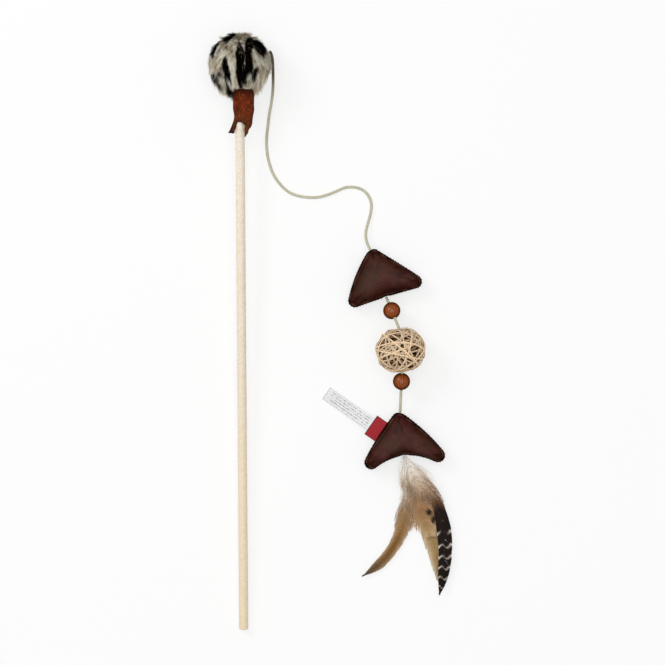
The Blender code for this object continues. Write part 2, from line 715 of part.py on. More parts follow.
def make_feather(name, mouth, look):
    """A feather: a flat, slightly cupped vane with a raised shaft, lofted along its bend."""
    slot, layer, bend_x, bend_y, tip_x, tip_y, half_width, bare = FEATHERS[name]
    ring = radians(-90 + 60 * slot)
    offset = Vector((QUILL_RING * cos(ring), 0, QUILL_RING * sin(ring)))
    start = mouth + offset
    bend = mouth + Vector((bend_x, bend_y, 0))
    tip = mouth + Vector((tip_x, tip_y, 0))
    length = (bend - start).to_2d().length * 0.5 + (tip - bend).to_2d().length * 0.5
    length = max(length, (tip - start).to_2d().length)
    stations = [-QUILL_INSIDE, -QUILL_INSIDE / 2, 0.0]
    stations += [length * (i / VANE_STEPS) for i in range(1, VANE_STEPS + 1)]
    rings = []
    for run in stations:
        t = max(run / length, 0.0)
        plan = bezier(start, bend, tip, t)
        ahead = bezier(start, bend, tip, min(t + 0.02, 1.02)) - bezier(start, bend, tip, t - 0.02)
        ahead = Vector((ahead.x, ahead.y, 0)).normalized()
        if run < 0:
            plan = start + Vector((0, 1, 0)) * -run
        spread = smooth_step(run / 0.012)
        if t == 0:
            ahead = Vector((0, -1, 0))
        side = Vector((-ahead.y, ahead.x, 0))
        half = feather_widths(t, bare / length, half_width)
        shaft = QUILL_DIAMETER / 2 * (1 - 0.5 * t)
        wall = min(VANE_WALL / 2, shaft) if half > QUILL_DIAMETER / 2 else shaft * 0.7
        section = [(-half, wall * 0.6), (-half * 0.55, wall), (0, shaft), (half * 0.55, wall),
                   (half, wall * 0.6), (half, -wall * 0.6), (half * 0.55, -wall), (0, -shaft),
                   (-half * 0.55, -wall), (-half, -wall * 0.6)]
        points = []
        for across, rise in section:
            cup = -VANE_CUP * (across / half_width) ** 2 if half > QUILL_DIAMETER / 2 else 0
            spot = plan + side * across
            away = (spot - mouth).to_2d().length
            level = seam_height + offset.z * (1 - spread)
            fall = droop(away, 0.0, -(seam_height - VANE_WALL - QUILL_DIAMETER), DROOP_LENGTH)
            stack = LAYER_HEIGHT * layer * spread
            points.append(Vector((spot.x, spot.y, level + (fall + stack) * (run > 0) + rise + cup)))
        rings.append(points)
    return add(name, loft(name, rings), look)


def smooth_step(t):
    t = max(0.0, min(1.0, t))
    return t * t * (3 - 2 * t)


def loft(name, rings):
    """A skin over unlike closed sections, with flat ends."""
    bm = bmesh.new()
    rows = [[bm.verts.new(p) for p in ring] for ring in rings]
    count = len(rings[0])
    for near, far in zip(rows, rows[1:]):
        for i in range(count):
            j = (i + 1) % count
            bm.faces.new((near[i], near[j], far[j], far[i]))
    bm.faces.new(rows[0])
    bm.faces.new(list(reversed(rows[-1])))
    bmesh.ops.recalc_face_normals(bm, faces=bm.faces)
    mesh = bpy.data.meshes.new(name)
    bm.to_mesh(mesh)
    bm.free()
    return mesh


def report(name, place):
    print(name, [round(v, 5) for v in place])


clear_scene()
PARTS = collection("feather_cat_wand")
CUTTERS = collection("cutters")

WOOD = material("pale_wood", (0.80, 0.68, 0.50), 0.6)
FUR = material("cream_fur", (0.66, 0.60, 0.48), 0.95)
FILLING = material("white_filling", (0.85, 0.85, 0.83), 0.95)
THREAD = material("binding_thread", (0.75, 0.72, 0.62), 0.8)
TAN_LEATHER = material("red_brown_leather", (0.20, 0.045, 0.02), 0.7)
DARK_LEATHER = material("dark_brown_leather", (0.045, 0.012, 0.010), 0.5)
CORD = material("pale_cord", (0.60, 0.58, 0.42), 0.8)
BEAD_WOOD = material("stained_bead_wood", (0.30, 0.08, 0.02), 0.3)
RATTAN = material("rattan", (0.62, 0.44, 0.25), 0.7)
WHITE_SATIN = material("white_satin", (0.88, 0.88, 0.88), 0.5)
RED_SATIN = material("red_satin", (0.45, 0.01, 0.02), 0.5)
FEATHER_LOOKS = {
    "feather_buff": material("buff_feather", (0.50, 0.36, 0.20), 0.7),
    "feather_ginger": material("ginger_feather", (0.36, 0.19, 0.07), 0.7),
    "feather_brown": material("brown_feather", (0.22, 0.13, 0.07), 0.7),
    "feather_barred": material("barred_feather", (0.06, 0.05, 0.04), 0.6),
    "feather_down_left": material("white_down", (0.75, 0.72, 0.64), 0.9),
    "feather_down_right": material("cream_down", (0.70, 0.64, 0.52), 0.9),
}

floor = make_floor_cutter()
wand = wand_frame()
bpy.context.view_layer.update()
make_stick(wand, WOOD)
room = make_anchor(wand, CORD)
binding_radius = make_pompom(wand, FUR, FILLING, THREAD, floor, room)
make_collar(wand, TAN_LEATHER, binding_radius)

# The upper cord, from its pivot at the pompom to its pivot at the upper triangle
to_exit = Vector((cos(EXIT_ANGLE), 0, sin(EXIT_ANGLE))) * (pompom_radius + GAP + cord_radius)
exit_pivot = wand.matrix_world @ (Vector((0, 0, pompom_along)) + to_exit)
route = [exit_pivot]
route += [Vector((exit_pivot.x + x, exit_pivot.y + y, z)) for x, y, z in CORD_ROUTE]
last_x, last_y, _ = CORD_ROUTE[-1]
upper_pivot = Vector((exit_pivot.x + last_x + 0.0021, exit_pivot.y + last_y - 0.0048, seam_height))
route.append(upper_pivot)
points, cord_length = smooth_points(route, CORD_POINTS)
cord_swing = joint("cord_swing", exit_pivot, wand)
hang(add("upper_cord", tube_curve("upper_cord", *domed(points, cord_radius)), CORD), cord_swing)
print("upper cord length mm", round(cord_length * 1000, 1))

upper_swing = joint("upper_triangle_swing", upper_pivot, cord_swing)
upper = Triangle(upper_swing, "upper_triangle", UPPER_MOUTH_ANGLE, UPPER_CORNER, UPPER_LEFT,
                 UPPER_RIGHT, UPPER_BOWS, (DARK_LEATHER, FILLING), floor)
mouth_radius = cord_radius + CORD_CLEARANCE
way_out, _ = on_side(upper.sides[1], UPPER_MOUTH_ALONG)
lower_cord_pivot = seam_point(way_out)
through = lower_cord_pivot - upper_pivot
upper.open_mouth("top_mouth", upper_pivot, through, mouth_radius)
upper.open_mouth("bottom_mouth", lower_cord_pivot, through, mouth_radius)
inward = through.normalized()
knots = [upper_pivot + inward * KNOT_INSIDE, lower_cord_pivot - inward * KNOT_INSIDE]
inner_cord("upper_triangle_cord", upper_pivot, inward, knots, lower_cord_pivot, CORD,
           upper.filling, upper_swing)

# The lower cord with its beads and ball
winding, ball_reach = ball_winding()
print_least_gap(winding, STRAND_DIAMETER)
ball_height = ball_reach + STRAND_DIAMETER / 2
ball_half = (BALL_DIAMETER / 2) * BALL_PRESSED
rise = ball_height - seam_height
upper_run = UPPER_BEAD_AT + bead_radius + UPPER_BEAD_TO_BALL
lower_run = BALL_TO_BEAD + BEAD_DIAMETER + LOWER_BEAD_TO_TRIANGLE
toward_ball = heading_vector(HEADING_UPPER, asin(rise / upper_run))
along_ball = heading_vector(HEADING_BALL, 0)
from_ball = heading_vector(HEADING_LOWER, -asin(rise / lower_run))
near_pole = lower_cord_pivot + toward_ball * upper_run
ball_centre = near_pole + along_ball * ball_half
far_pole = ball_centre + along_ball * ball_half
lower_pivot = far_pole + from_ball * lower_run
upper_bead_place = lower_cord_pivot + toward_ball * UPPER_BEAD_AT
lower_bead_place = far_pole + from_ball * (BALL_TO_BEAD + bead_radius)
bend = 0.0015
taut = [lower_cord_pivot + toward_ball * upper_run * t for t in (0, 0.25, 0.5, 0.75)]
taut += [near_pole - toward_ball * bend, near_pole + along_ball * bend]
taut += [ball_centre + along_ball * ball_half * t for t in (-0.5, 0, 0.5)]
taut += [far_pole - along_ball * 2 * bend, far_pole]
taut += [far_pole + from_ball * lower_run * t for t in (0.12, 0.35, 0.6, 0.8, 1)]
points, lower_length = smooth_points(taut, 34)
lower_cord_swing = joint("lower_cord_swing", lower_cord_pivot, upper_swing)
hang(add("lower_cord", tube_curve("lower_cord", *domed(points, cord_radius)), CORD), lower_cord_swing)
print("lower cord length mm", round(lower_length * 1000, 1))
hang(make_bead("upper_bead", upper_bead_place, toward_ball, BEAD_WOOD), lower_cord_swing)
hang(make_bead("lower_bead", lower_bead_place, from_ball, BEAD_WOOD), lower_cord_swing)
strand = tube_curve("rattan_ball", winding, [STRAND_DIAMETER / 2] * len(winding), 1)
hang(add("rattan_ball", strand, RATTAN, None, frame_along(ball_centre, along_ball)), lower_cord_swing)

# The lower triangle with its labels and feathers
lower_swing = joint("lower_triangle_swing", lower_pivot, lower_cord_swing)
lower = Triangle(lower_swing, "lower_triangle", LOWER_MOUTH_ANGLE, LOWER_CORNER, LOWER_LEFT,
                 LOWER_RIGHT, LOWER_BOWS, (DARK_LEATHER, FILLING), floor)
down = Vector((-cos(LOWER_MOUTH_ANGLE), -sin(LOWER_MOUTH_ANGLE), 0))
lower.open_mouth("cord_mouth", lower_pivot, down, mouth_radius)
inner_cord("lower_triangle_cord", lower_pivot, down, [lower_pivot + down * KNOT_INSIDE], None,
           CORD, lower.filling, lower_swing)
way_out, _ = on_side(lower.sides[1], FEATHER_MOUTH_ALONG)
feather_pivot = seam_point(way_out)
bundle = QUILL_RING + QUILL_DIAMETER / 2
thread_ring = bundle + GAP + THREAD_DIAMETER / 2
lower.open_mouth("feather_mouth", feather_pivot, Vector((0, 1, 0)), bundle + 2 * GAP)
bm = bmesh.new()
pocket = sqrt(QUILL_INSIDE ** 2 + (thread_ring + THREAD_DIAMETER / 2) ** 2) + GAP
bmesh.ops.create_cone(bm, cap_ends=True, segments=24, radius1=pocket, radius2=pocket,
                      depth=TRIANGLE_THICKNESS * 2, matrix=Matrix.Translation(feather_pivot))
mesh = bpy.data.meshes.new("feather_pocket")
bm.to_mesh(mesh)
bm.free()
cut(lower.filling, add("feather_pocket_cutter", mesh))
feather_swing = joint("feather_swing", feather_pivot, lower_swing)
for feather, look in FEATHER_LOOKS.items():
    hang(make_feather(feather, feather_pivot, look), feather_swing)
first = QUILL_INSIDE - THREAD_DIAMETER * 1.5
winding = []
for i in range(BINDING_LOOPS * BINDING_STEPS + 1):
    turn = 2 * pi * i / BINDING_STEPS
    climb = BINDING_PITCH * i / BINDING_STEPS
    winding.append(feather_pivot + Vector((thread_ring * cos(turn), first - climb,
                                           thread_ring * sin(turn))))
thread = tube_curve("feather_binding", winding, [THREAD_DIAMETER / 2] * len(winding), 1)
hang(add("feather_binding", thread, THREAD), feather_swing)

seam, seam_out = on_side(lower.sides[0], LABEL_ALONG)
label_out = Vector((cos(LABEL_HEADING), sin(LABEL_HEADING), 0))
label_root = seam_point(seam) + label_out * (2 * GAP) - Vector((0, 0, CARE_LABEL_WALL))
lift = CARE_LABEL_WALL / 2 + GAP + SIDE_LABEL_WALL / 2
label_edge = label_root + Vector((0, 0, lift + SIDE_LABEL_WALL / 2))
label_fold = joint("label_fold", label_edge, lower_swing)
hang(make_label("care_label", label_root, LABEL_HEADING, CARE_LABEL, CARE_LABEL_WALL, 0,
                WHITE_SATIN), label_fold)
hang(make_label("side_label", label_root, LABEL_HEADING, SIDE_LABEL, SIDE_LABEL_WALL, lift,
                RED_SATIN), label_fold)

report("butt", wand.matrix_world.translation)
report("stick direction", wand.matrix_world.to_3x3() @ Vector((0, 0, 1)))
report("exit pivot", exit_pivot)
report("upper triangle pivot", upper_pivot)
report("lower cord pivot", lower_cord_pivot)
report("upper bead", upper_bead_place)
report("towards the ball", toward_ball)
report("ball centre", ball_centre)
report("along the ball", along_ball)
report("lower bead", lower_bead_place)
report("from the ball", from_ball)
report("lower triangle pivot", lower_pivot)
report("feather pivot", feather_pivot)
report("label fold", label_edge)
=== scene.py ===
"""The dressed model of a cat's feather wand, laid out flat on a pale floor.

Metres, +Z up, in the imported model's own frame. The file follows the toy as it is put together:
the stick, the pompom and its collar, the cord, and then each thing that the cord carries."""

from math import acos, asin, atan2, cos, degrees, pi, radians, sin, sqrt

import bmesh
import bpy
import numpy as np
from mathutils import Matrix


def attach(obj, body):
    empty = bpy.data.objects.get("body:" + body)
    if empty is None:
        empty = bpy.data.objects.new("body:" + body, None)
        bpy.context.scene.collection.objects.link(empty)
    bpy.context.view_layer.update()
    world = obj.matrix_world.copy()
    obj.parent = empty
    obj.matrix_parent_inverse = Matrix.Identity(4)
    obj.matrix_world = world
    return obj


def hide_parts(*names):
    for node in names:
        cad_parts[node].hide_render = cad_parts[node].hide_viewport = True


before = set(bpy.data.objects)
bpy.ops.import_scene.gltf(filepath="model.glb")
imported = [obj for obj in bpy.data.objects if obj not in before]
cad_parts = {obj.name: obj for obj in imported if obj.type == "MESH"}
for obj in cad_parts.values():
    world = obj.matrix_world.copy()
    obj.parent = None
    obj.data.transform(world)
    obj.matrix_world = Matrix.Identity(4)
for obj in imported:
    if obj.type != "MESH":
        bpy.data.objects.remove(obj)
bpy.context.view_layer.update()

# The place where the toy is pictured: a pale seamless floor under one broad soft light from
# above, a weaker one from the upper left, and a camera that looks straight down on the middle.
FRAME_WIDTH = 0.5786            # what the picture spans at the toy's own height
LOOKS_AT = (0.0024, -0.0009)
CAMERA_HEIGHT = 3.0
FILM_WIDTH = 36
TOY_HEIGHT = 0.013
FLOOR_HALF = 6.0
FLOOR_LEVEL = -0.0003
FLOOR_WHITENESS = 0.68
SKY_STRENGTH = 0.42


def srgb(red, green, blue):
    """A colour as it is read off a colour card, 0 to 255, turned into the shader's own scale."""
    share = np.array([red, green, blue]) / 255
    return tuple(np.where(share <= 0.04045, share / 12.92, ((share + 0.055) / 1.055) ** 2.4))


class Finish:
    """A material with short calls for its nodes. A value that is a socket is joined up."""

    def __init__(self, name, roughness=0.6, **settings):
        self.material = bpy.data.materials.new(name)
        self.material.use_nodes = True
        self.tree = self.material.node_tree
        self.shader = self.tree.nodes["Principled BSDF"]
        self.set(self.shader, Roughness=roughness, **settings)

    def set(self, node, **values):
        """Sockets by name, with _ for a space, or by number after a _."""
        for name, value in values.items():
            socket = node.inputs[int(name[1:]) if name[0] == "_" else name.replace("_", " ")]
            if isinstance(value, bpy.types.NodeSocket):
                self.tree.links.new(value, socket)
            elif np.ndim(value) and len(socket.default_value) == 4:
                socket.default_value = (*value, 1.0)
            else:
                socket.default_value = value

    def node(self, kind, values, **options):
        made = self.tree.nodes.new("ShaderNode" + kind)
        for name, value in options.items():
            setattr(made, name, value)
        self.set(made, **values)
        return made

    def places(self, scale=(1, 1, 1), turn=(0, 0, 0), shift=(0, 0, 0), flat=False):
        """The surface's own places: in space, or along its own flat map."""
        source = self.tree.nodes.new("ShaderNodeTexCoord").outputs["UV" if flat else "Object"]
        return self.node("Mapping", {"Vector": source, "Scale": scale, "Rotation": turn,
                                     "Location": shift}).outputs[0]

    def noise(self, places, scale, detail=3.0, roughness=0.55, twist=0.0):
        return self.node("TexNoise", {"Vector": places, "Scale": scale, "Detail": detail,
                                      "Roughness": roughness, "Distortion": twist}).outputs[0]

    def cells(self, places, scale, feature="F1"):
        return self.node("TexVoronoi", {"Vector": places, "Scale": scale},
                         feature=feature).outputs["Distance"]

    def waves(self, places, scale, twist=0.0, axis="X"):
        return self.node("TexWave", {"Vector": places, "Scale": scale, "Distortion": twist,
                                     "Detail": 2.0}, bands_direction=axis).outputs["Fac"]

    def span(self, value, low, high, to_low=0.0, to_high=1.0):
        return self.node("MapRange", {"Value": value, "From_Min": low, "From_Max": high,
                                      "To_Min": to_low, "To_Max": to_high}).outputs[0]

    def sum(self, a, b, kind="ADD"):
        return self.node("Math", {"_0": a, "_1": b}, operation=kind).outputs[0]

    def times(self, a, b):
        return self.sum(a, b, "MULTIPLY")

    def mix(self, share, a, b, blend="MIX"):
        return self.node("Mix", {"_0": share, "_6": a, "_7": b}, data_type="RGBA",
                         blend_type=blend).outputs[2]

    def coats(self, tint, *coats):
        """A tint with coats laid over it in turn, each a share of cover and a card colour."""
        for share, colour in coats:
            tint = self.mix(share, tint, srgb(*colour))
        return tint

    def blend(self, share, low, high, *coats):
        """A tint between two card colours, with coats over it."""
        return self.coats(self.mix(share, srgb(*low), srgb(*high)), *coats)

    def own(self, name, output="Fac"):
        """What the mesh carries under that name at each point."""
        made = self.tree.nodes.new("ShaderNodeAttribute")
        made.attribute_name = name
        return made.outputs[output]

    def relief(self, height, depth):
        """Small hollows and ridges of that depth."""
        return self.node("Bump", {"Height": height, "Distance": depth, "Strength": 1.0}).outputs[0]

    def done(self, color, normal=None, roughness=None):
        self.set(self.shader, Base_Color=color)
        if normal is not None:
            self.set(self.shader, Normal=normal)
        if roughness is not None:
            self.set(self.shader, Roughness=roughness)
        return self.material


def filled_mesh(name, points, faces, look):
    """A smooth mesh from whole arrays: points, then faces that all have as many corners."""
    mesh = bpy.data.meshes.new(name)
    points, faces = np.asarray(points, np.float32).reshape(-1, 3), np.asarray(faces, np.int32)
    mesh.vertices.add(len(points))
    mesh.vertices.foreach_set("co", points.ravel())
    mesh.loops.add(faces.size)
    mesh.loops.foreach_set("vertex_index", faces.ravel())
    mesh.polygons.add(len(faces))
    mesh.polygons.foreach_set("loop_start", np.arange(0, faces.size, faces.shape[1], dtype=np.int32))
    mesh.update(calc_edges=True)
    mesh.polygons.foreach_set("use_smooth", np.ones(len(faces), bool))
    mesh.materials.append(look)
    piece = bpy.data.objects.new(name, mesh)
    bpy.context.scene.collection.objects.link(piece)
    return piece


looks = Finish("pale_floor", 0.9, Specular_IOR_Level=0.1)
grain = looks.noise(looks.places(), 6.0)
pale_floor = looks.done(looks.blend(grain, (250, 250, 249), (252, 252, 252)))
ray = looks.node("LightPath", {}).outputs
seen = looks.sum(ray["Is Camera Ray"], ray["Is Glossy Ray"], "MAXIMUM")
seen = looks.sum(seen, ray["Is Transmission Ray"], "MAXIMUM")
glow = looks.node("Emission", {"Color": (1.0, 1.0, 1.0), "Strength": 1.0})
both = looks.node("MixShader", {"_0": looks.times(seen, FLOOR_WHITENESS),
                                "_1": looks.shader.outputs[0], "_2": glow.outputs[0]})
looks.tree.links.new(both.outputs[0], looks.tree.nodes["Material Output"].inputs["Surface"])
corners = np.array([(-1, -1, 0), (1, -1, 0), (1, 1, 0), (-1, 1, 0)]) * FLOOR_HALF
floor = filled_mesh("floor", corners + (0, 0, FLOOR_LEVEL), [(0, 1, 2, 3)], pale_floor)

world = bpy.data.worlds.new("studio")
bpy.context.scene.world = world
world.use_nodes = True
world.node_tree.nodes["Background"].inputs["Color"].default_value = (1, 1, 1, 1)
world.node_tree.nodes["Background"].inputs["Strength"].default_value = SKY_STRENGTH


def soft_light(name, place, size, power):
    """A square lamp of that size at a place, turned to the middle of the floor."""
    lamp = bpy.data.lights.new(name, "AREA")
    lamp.size, lamp.energy = size, power
    light = bpy.data.objects.new(name, lamp)
    bpy.context.scene.collection.objects.link(light)
    back = np.array(place) / np.linalg.norm(place)
    side = np.cross((0, 1, 0), back)
    side = side / np.linalg.norm(side)
    matrix = np.eye(4)
    matrix[:3] = np.stack([side, np.cross(back, side), back, place], -1)
    light.matrix_world = matrix.T.tolist()


soft_light("overhead_softbox", (0, 0, 3.8), size=3.0, power=68)
soft_light("side_softbox", (-1.5, 1.1, 1.7), size=0.9, power=15)

view = bpy.data.cameras.new("camera")
view.sensor_width = FILM_WIDTH
view.lens = FILM_WIDTH * (CAMERA_HEIGHT - TOY_HEIGHT) / FRAME_WIDTH
view.clip_start, view.clip_end = 0.05, 50
camera = bpy.data.objects.new("camera", view)
bpy.context.scene.collection.objects.link(camera)
camera.location = (*LOOKS_AT, CAMERA_HEIGHT)
bpy.context.scene.camera = camera
bpy.context.scene.view_settings.view_transform = "Standard"

# The stick: a straight pale dowel of bare sanded wood, sawn off square and eased at its ends.
# Its far end sits in the middle of the pompom, so the stick rises a little towards it.
STICK_LENGTH = 0.4877
STICK_RADIUS = 0.004
STICK_EDGE = 0.0009
STICK_LEAN = radians(0.35)
POMPOM_RADIUS = 0.0265
POMPOM_PRESSED = 0.0005         # how far the ball sinks into its fur where it lies
POMPOM_ALONG = STICK_LENGTH + 0.006
BUTT = np.array([-0.0751, -0.2601, STICK_RADIUS])

rise = asin((POMPOM_RADIUS - POMPOM_PRESSED - STICK_RADIUS) / POMPOM_ALONG)
up_the_stick = np.array([-sin(STICK_LEAN) * cos(rise), cos(STICK_LEAN) * cos(rise), sin(rise)])
right_of_stick = np.array([cos(STICK_LEAN), sin(STICK_LEAN), 0])
under_stick = np.cross(up_the_stick, right_of_stick)


def on_wand(points):
    """Points given to the right of the stick, away from the sky and up the stick, put in place."""
    points = np.asarray(points, float)
    return (BUTT + points[..., :1] * right_of_stick + points[..., 1:2] * under_stick
            + points[..., 2:] * up_the_stick)


def grid_faces(rows, columns, round_rows=False, round_columns=False, pieces=1):
    """The faces of a grid of points, or of several grids one after another, as whole arrays.
    A round grid joins its last row or column to its first."""
    index = np.arange(rows * columns).reshape(rows, columns)
    if round_columns:
        index = np.hstack([index, index[:, :1]])
    if round_rows:
        index = np.vstack([index, index[:1]])
    quads = np.stack([index[:-1, :-1], index[:-1, 1:], index[1:, 1:], index[1:, :-1]], -1)
    steps = np.arange(pieces)[:, None, None] * rows * columns
    return (quads.reshape(1, -1, 4) + steps).reshape(-1, 4)


def tube(name, points, look, round_rows=False):
    """A piece from a grid of points, or from several, whose columns go round it."""
    rows, columns = points.shape[-3:-1]
    pieces = points.size // (3 * rows * columns)
    return filled_mesh(name, points, grid_faces(rows, columns, round_rows, True, pieces), look)


def give(piece, name, values):
    """Puts a value or a colour at each of the mesh's points, for its material to read."""
    values = np.asarray(values, np.float32)
    if values.ndim > 1 and values.shape[-1] == 3:
        values = np.hstack([values, np.ones((len(values), 1), np.float32)])
        layer = piece.data.attributes.new(name, "FLOAT_COLOR", "POINT")
        layer.data.foreach_set("color", values.ravel())
    else:
        layer = piece.data.attributes.new(name, "FLOAT", "POINT")
        layer.data.foreach_set("value", values.ravel())


def close(piece):
    """Merges the points that meet at poles and seams, and turns the faces outwards."""
    bm = bmesh.new()
    bm.from_mesh(piece.data)
    bmesh.ops.remove_doubles(bm, verts=bm.verts, dist=1e-6)
    bmesh.ops.recalc_face_normals(bm, faces=bm.faces)
    bm.to_mesh(piece.data)
    bm.free()
    return piece


def turned(profile, steps):
    """A profile of radius and height turned round an axis: x = radius times the cosine of the
    turn, y = radius times its sine, z = height. Rows follow the profile, columns the turn."""
    turn = np.linspace(0, 2 * pi, steps, endpoint=False)
    radius, height = profile[:, :1], profile[:, 1:]
    return np.stack([radius * np.cos(turn), radius * np.sin(turn), height + 0 * turn], -1)


def arc(radius, start, end, count, centre=(0, 0)):
    """Points on a circle about a centre, from one angle to another, in degrees."""
    angle = np.radians(np.linspace(start, end, count))
    return np.stack([centre[0] + radius * np.cos(angle), centre[1] + radius * np.sin(angle)], -1)


def upright(across, start, end, count):
    """Points in a straight line at one distance across."""
    return np.stack([np.full(count, across), np.linspace(start, end, count)], -1)


looks = Finish("pale_wood", 0.62)
along_grain = (rise - pi / 2, 0, 0)
grain_run = looks.places((1, 1, 0.022), along_grain)
fibres = looks.noise(grain_run, 2600, 4, 0.6)
bands = looks.noise(grain_run, 420, 3, 0.55, 0.4)
pores = looks.span(looks.noise(looks.places((1, 1, 0.05), along_grain), 3800, 2), 0.56, 0.72)
along = looks.span(looks.node("SeparateXYZ", {"Vector": looks.places()}).outputs[1], -0.27, 0.18)
tint = looks.blend(along, (244, 226, 192), (248, 240, 228),
                   (looks.span(bands, 0.40, 0.66, 0, 0.7), (234, 214, 184)),
                   (looks.span(fibres, 0.45, 0.75, 0, 0.45), (220, 198, 164)),
                   (looks.span(pores, 0, 1, 0, 0.35), (186, 160, 124)))
worn = looks.relief(looks.sum(fibres, looks.times(pores, 0.4), "SUBTRACT"), 0.00006)
pale_wood = looks.done(tint, worn, looks.span(fibres, 0.3, 0.8, 0.55, 0.75))

face = np.stack([np.linspace(0, STICK_RADIUS - STICK_EDGE, 6)[:-1], np.zeros(5)], -1)
rounding = arc(STICK_EDGE, -90, 0, 6, (STICK_RADIUS - STICK_EDGE, STICK_EDGE))
butt_end = np.vstack([face, rounding])
side = upright(STICK_RADIUS, STICK_EDGE, STICK_LENGTH - STICK_EDGE, 62)[1:-1]
far_end = butt_end[::-1] * (1, -1) + (0, STICK_LENGTH)
shape = turned(np.vstack([butt_end, side, far_end]), 64)
height, turn = shape[..., 2], np.arctan2(shape[..., 1], shape[..., 0])
# Sanding leaves it out of round by up to a hundredth
hand_cut = 1 + 0.006 * np.sin(3 * turn + height * 40) + 0.004 * np.sin(7 * turn - height * 90)
shape[..., :2] *= hand_cut[..., None]
stick = close(tube("stick_dowel", on_wand(shape), pale_wood))
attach(stick, "wand")
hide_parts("stick")

# The pompom: fur cloth gathered over a ball of wadding, its neck bound to the stick with
# thread. Under the fur is the cloth itself, in pleats where the gathered neck begins.
CLOTH_RADIUS = 0.0228
INSIDE_RADIUS = 0.0201
NECK_RADIUS = 0.0048
NECK_FILLET = 0.005
NECK_LENGTH = 0.0105
STICK_BORE = 0.0043
PLEATS = 16
PLEAT_DEPTH = 0.0005
PLEATS_FROM = 0.016             # below the ball's middle
PLEATS_RUN = 0.010
CLOTH_LOWEST = 0.0012


def on_pompom(points):
    """Points about the pompom's middle, put in place."""
    return on_wand(np.asarray(points) + (0, 0, POMPOM_ALONG))


def ramp(x, start, run):
    """Nothing before the start, one after the run, and a straight rise between."""
    return np.clip((x - start) / run, 0, 1)


# The cloth is tinted darker than the fur: painted shade that shows in the gaps between the hairs
looks = Finish("fur_backing_in_shade", 0.9)
weave = looks.noise(looks.places(), 1400, 3)
fur_backing_in_shade = looks.done(looks.blend(weave, (122, 108, 88), (164, 150, 126)),
                         looks.relief(weave, 0.0002))

fillet_x = NECK_RADIUS + NECK_FILLET
fillet_z = -sqrt((CLOTH_RADIUS + NECK_FILLET) ** 2 - fillet_x ** 2)
lean = degrees(atan2(-fillet_z, fillet_x))
neck_end = -POMPOM_RADIUS - NECK_LENGTH
mouth = degrees(acos(STICK_BORE / INSIDE_RADIUS))
outside = arc(CLOTH_RADIUS, 90, -lean, 40)
outside[0] = (0, CLOTH_RADIUS)
fillet = arc(NECK_FILLET, 180 - lean, 180, 10, (fillet_x, fillet_z))[1:]
neck = upright(NECK_RADIUS, fillet_z, neck_end, 12)[1:]
bore = upright(STICK_BORE, neck_end, -INSIDE_RADIUS * sin(radians(mouth)), 16)
inside = arc(INSIDE_RADIUS, -mouth, 90, 36)[1:]
inside[-1] = (0, INSIDE_RADIUS)
shape = turned(np.vstack([outside, fillet, neck, bore, inside]), 96)
height, turn = shape[..., 2], np.arctan2(shape[..., 1], shape[..., 0])
reach = np.hypot(shape[..., 0], shape[..., 1])
gathered = ramp(-height, PLEATS_FROM, PLEATS_RUN) * (reach > STICK_BORE + PLEAT_DEPTH)
shape[..., :2] *= (1 + PLEAT_DEPTH * gathered * np.cos(PLEATS * turn)
                   / np.maximum(reach, 0.001))[..., None]
shape = on_pompom(shape)
shape[..., 2] = np.maximum(shape[..., 2], CLOTH_LOWEST)
cover = close(tube("pompom_cloth", shape, fur_backing_in_shade))
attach(cover, "wand")
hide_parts("pompom_cover")

# The pompom's fur: short plush hair that leaves the cloth upright, lies over towards the neck
# and gathers in small locks. It is cream, with black streaks that run the way the hair lies.
HAIRS = 33000
HAIR_LENGTH = 0.0092
HAIR_WIDTH = 0.00036
HAIR_STEPS = 4
HAIR_SEATED = 0.0004
HAIR_STRAY = 0.0004
HAIR_LOWEST = 0.0004            # off the floor, and twice that at the tips
BALD_BELOW = -0.945             # no hair grows on the neck, by the height of its way out
LOCKS = 900
LOCK_STRAY = 0.0008
LOCK_LOOSE = 0.60               # how much of its own place a hair keeps in its lock
FUR_CREAM = np.array(srgb(255, 250, 234))
FUR_TAN_AND_SHADE = np.array(srgb(214, 200, 172))
FUR_BLACK = np.array(srgb(14, 10, 9))
# Where it stands out at its right: by how much, and then middle and half away from the sky and
# up the stick
BULGE = 0.045
BULGE_DEEP = (0.0004, 0.0030)
BULGE_LONG = (-0.0015, 0.0095)
TUFT_FROM = 0.012
TUFT_RUN = 0.009
TUFT_HANG_LEFT = 0.0046
TUFT_HANG_RIGHT = 0.0040
COLLAR_ASIDE = 0.0029           # the collar stands out further on its lapped right side
COLLAR_ROOM = (0.0098, 0.0074)
TUCKED_BELOW = -0.0212
TUCKED_ACROSS = (0.0028, 0.0102)
TUCKED_SHARE = 0.88
